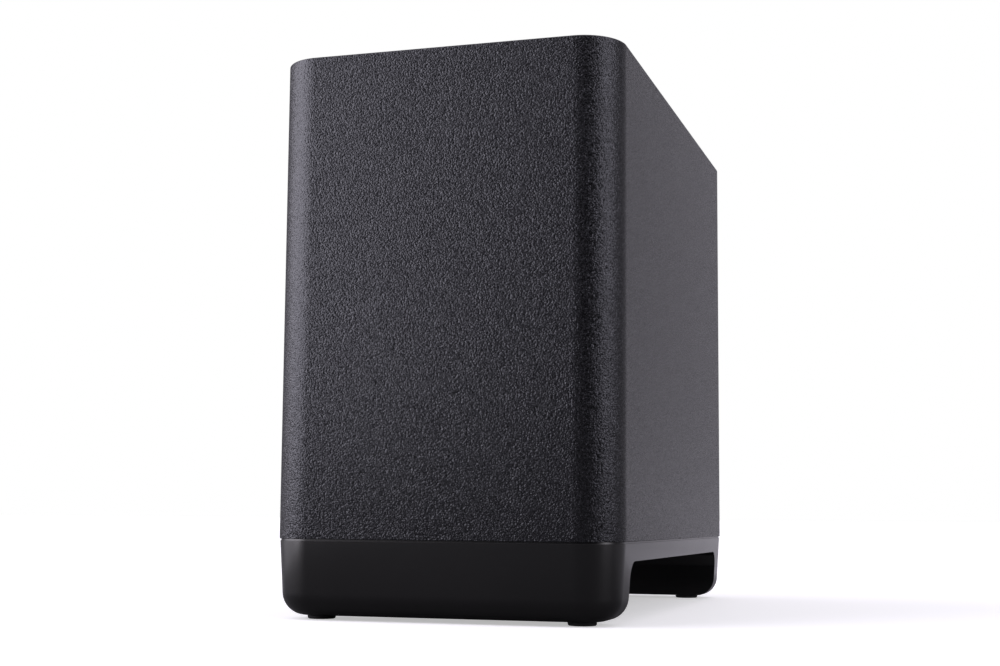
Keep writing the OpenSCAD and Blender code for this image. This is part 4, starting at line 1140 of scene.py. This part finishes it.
def smooth_line(stops, steps):
    """A smooth curve through points, by repeated spline segments."""
    padded = [stops[0] * 2 - stops[1]] + stops + [stops[-1] * 2 - stops[-2]]
    line = []
    for a, b, c, d in zip(padded, padded[1:], padded[2:], padded[3:]):
        for i in range(steps):
            t = i / steps
            square = (2 * a - 5 * b + 4 * c - d) * t * t
            cube = (3 * b - a - 3 * c + d) * t ** 3
            line.append(0.5 * (2 * b + (c - a) * t + square + cube))
    return line + [stops[-1]]


def make_tinsel_leads():
    stops = [
        (9, 57, 38), (12.4, 56.4, 38), (14.4, 50, 37.7),
        (14.6, 42, 37.2), (12, 34, 36.8), (7, 25.9, 37),
    ]
    bm = bmesh.new()
    for side in (-1, 1):
        points = [Vector((side * x * MM, y * MM, DRIVER_Z + z * MM)) for x, y, z in stops]
        tube_along(bm, smooth_line(points, 12), 0.6 * MM, 12, 0.35, 3, 0.12)
    leads = to_object("tinsel_braids", bm, "braid", None, 60)
    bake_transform(leads, "cabinet", "cone_assembly", (0, 55 * MM, DRIVER_Z), (0, 28 * MM, DRIVER_Z))
    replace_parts(leads, "tinsel_leads")


# ---------- wadding ----------


def make_wadding(node):
    """A pad of loose fibre: crowned faces, pulled-in edges and a lumpy skin."""
    low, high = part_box(node)
    size, middle = high - low, (low + high) / 2
    thin = 0 if size.x < size.y else 1
    wide = 1 - thin
    lumps_per_metre, lump, cuts = 34, 0.13, 48
    bm = bmesh.new()
    bmesh.ops.create_cube(bm, size=2.0)
    bmesh.ops.subdivide_edges(bm, edges=bm.edges, cuts=cuts, use_grid_fill=True)
    for vertex in bm.verts:
        u, v, w = vertex.co[wide], vertex.co.z, vertex.co[thin]
        crown = (1 - abs(u) ** 5) * (1 - abs(v) ** 6)
        spot = (u * size[wide] * lumps_per_metre, v * size.z * lumps_per_metre, w)
        lumps = noise.noise(Vector(spot)) * lump
        thick = (0.42 + 0.5 * crown ** 0.5) * (1 - lump + lumps)
        pull = 1 - 0.045 * w * w
        place = [0.0, 0.0, 0.0]
        place[wide] = u * pull * (0.985 + 0.012 * math.cos(5 * v)) * size[wide] / 2
        place[2] = v * pull * (0.985 + 0.010 * math.cos(4 * u)) * size.z / 2
        place[thin] = w * thick * size[thin] / 2
        vertex.co = middle + Vector(place)
    pad = to_object(node + "_pad", bm, "wadding", smooth=80)
    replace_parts(pad, node)


# ---------- everything else keeps its CAD shape, some of it with bevels ----------


def dress_cad_nodes():
    slots = {s["node"]: s["material_slot"] for s in frame["record"]["subparts"]}
    for name, node in frame["nodes"].items():
        if node.hide_render:
            continue
        node.data.materials.clear()
        node.data.materials.append(look(slots[name]))
        if name in EDGES:
            soften(node, EDGES[name] * MM, 40)


def make_plane(name, across, along, height, material):
    bm = bmesh.new()
    rows = [[bm.verts.new((x, y, height)) for x in across] for y in along]
    bm.faces.new((rows[0][0], rows[0][1], rows[1][1], rows[1][0]))
    mesh = bpy.data.meshes.new(name)
    bm.to_mesh(mesh)
    bm.free()
    mesh.materials.append(material)
    plane = bpy.data.objects.new(name, mesh)
    bpy.context.collection.objects.link(plane)
    return plane


def make_floor():
    """A pale floor that is only looked at, and a dark card that only light meets."""
    reach = (-FLOOR_REACH, FLOOR_REACH)
    floor = make_plane("floor", reach, reach, 0.0, pale_floor())
    floor.visible_glossy = False
    floor.visible_diffuse = False
    floor.visible_shadow = False
    card = make_plane("gloss_card", CARD_ACROSS, CARD_ALONG, -CARD_DROP, gloss_card())
    card.visible_camera = False
    card.visible_transmission = False


make_camera()
make_world()
make_floor()
make_wrap()
make_plinth()
for foot_name in ("foot_front_left", "foot_front_right", "foot_rear_left", "foot_rear_right"):
    make_foot(foot_name)
make_screw_groups()
make_port()
make_amp_plate()
make_button_and_light()
make_surround()
make_spider()
make_cone()
make_dust_cap()
make_trim_ring()
make_tinsel_leads()
for pad_name in ("wadding_front", "wadding_left", "wadding_right"):
    make_wadding(pad_name)
dress_cad_nodes()

bpy.context.scene.view_settings.view_transform = "Standard"
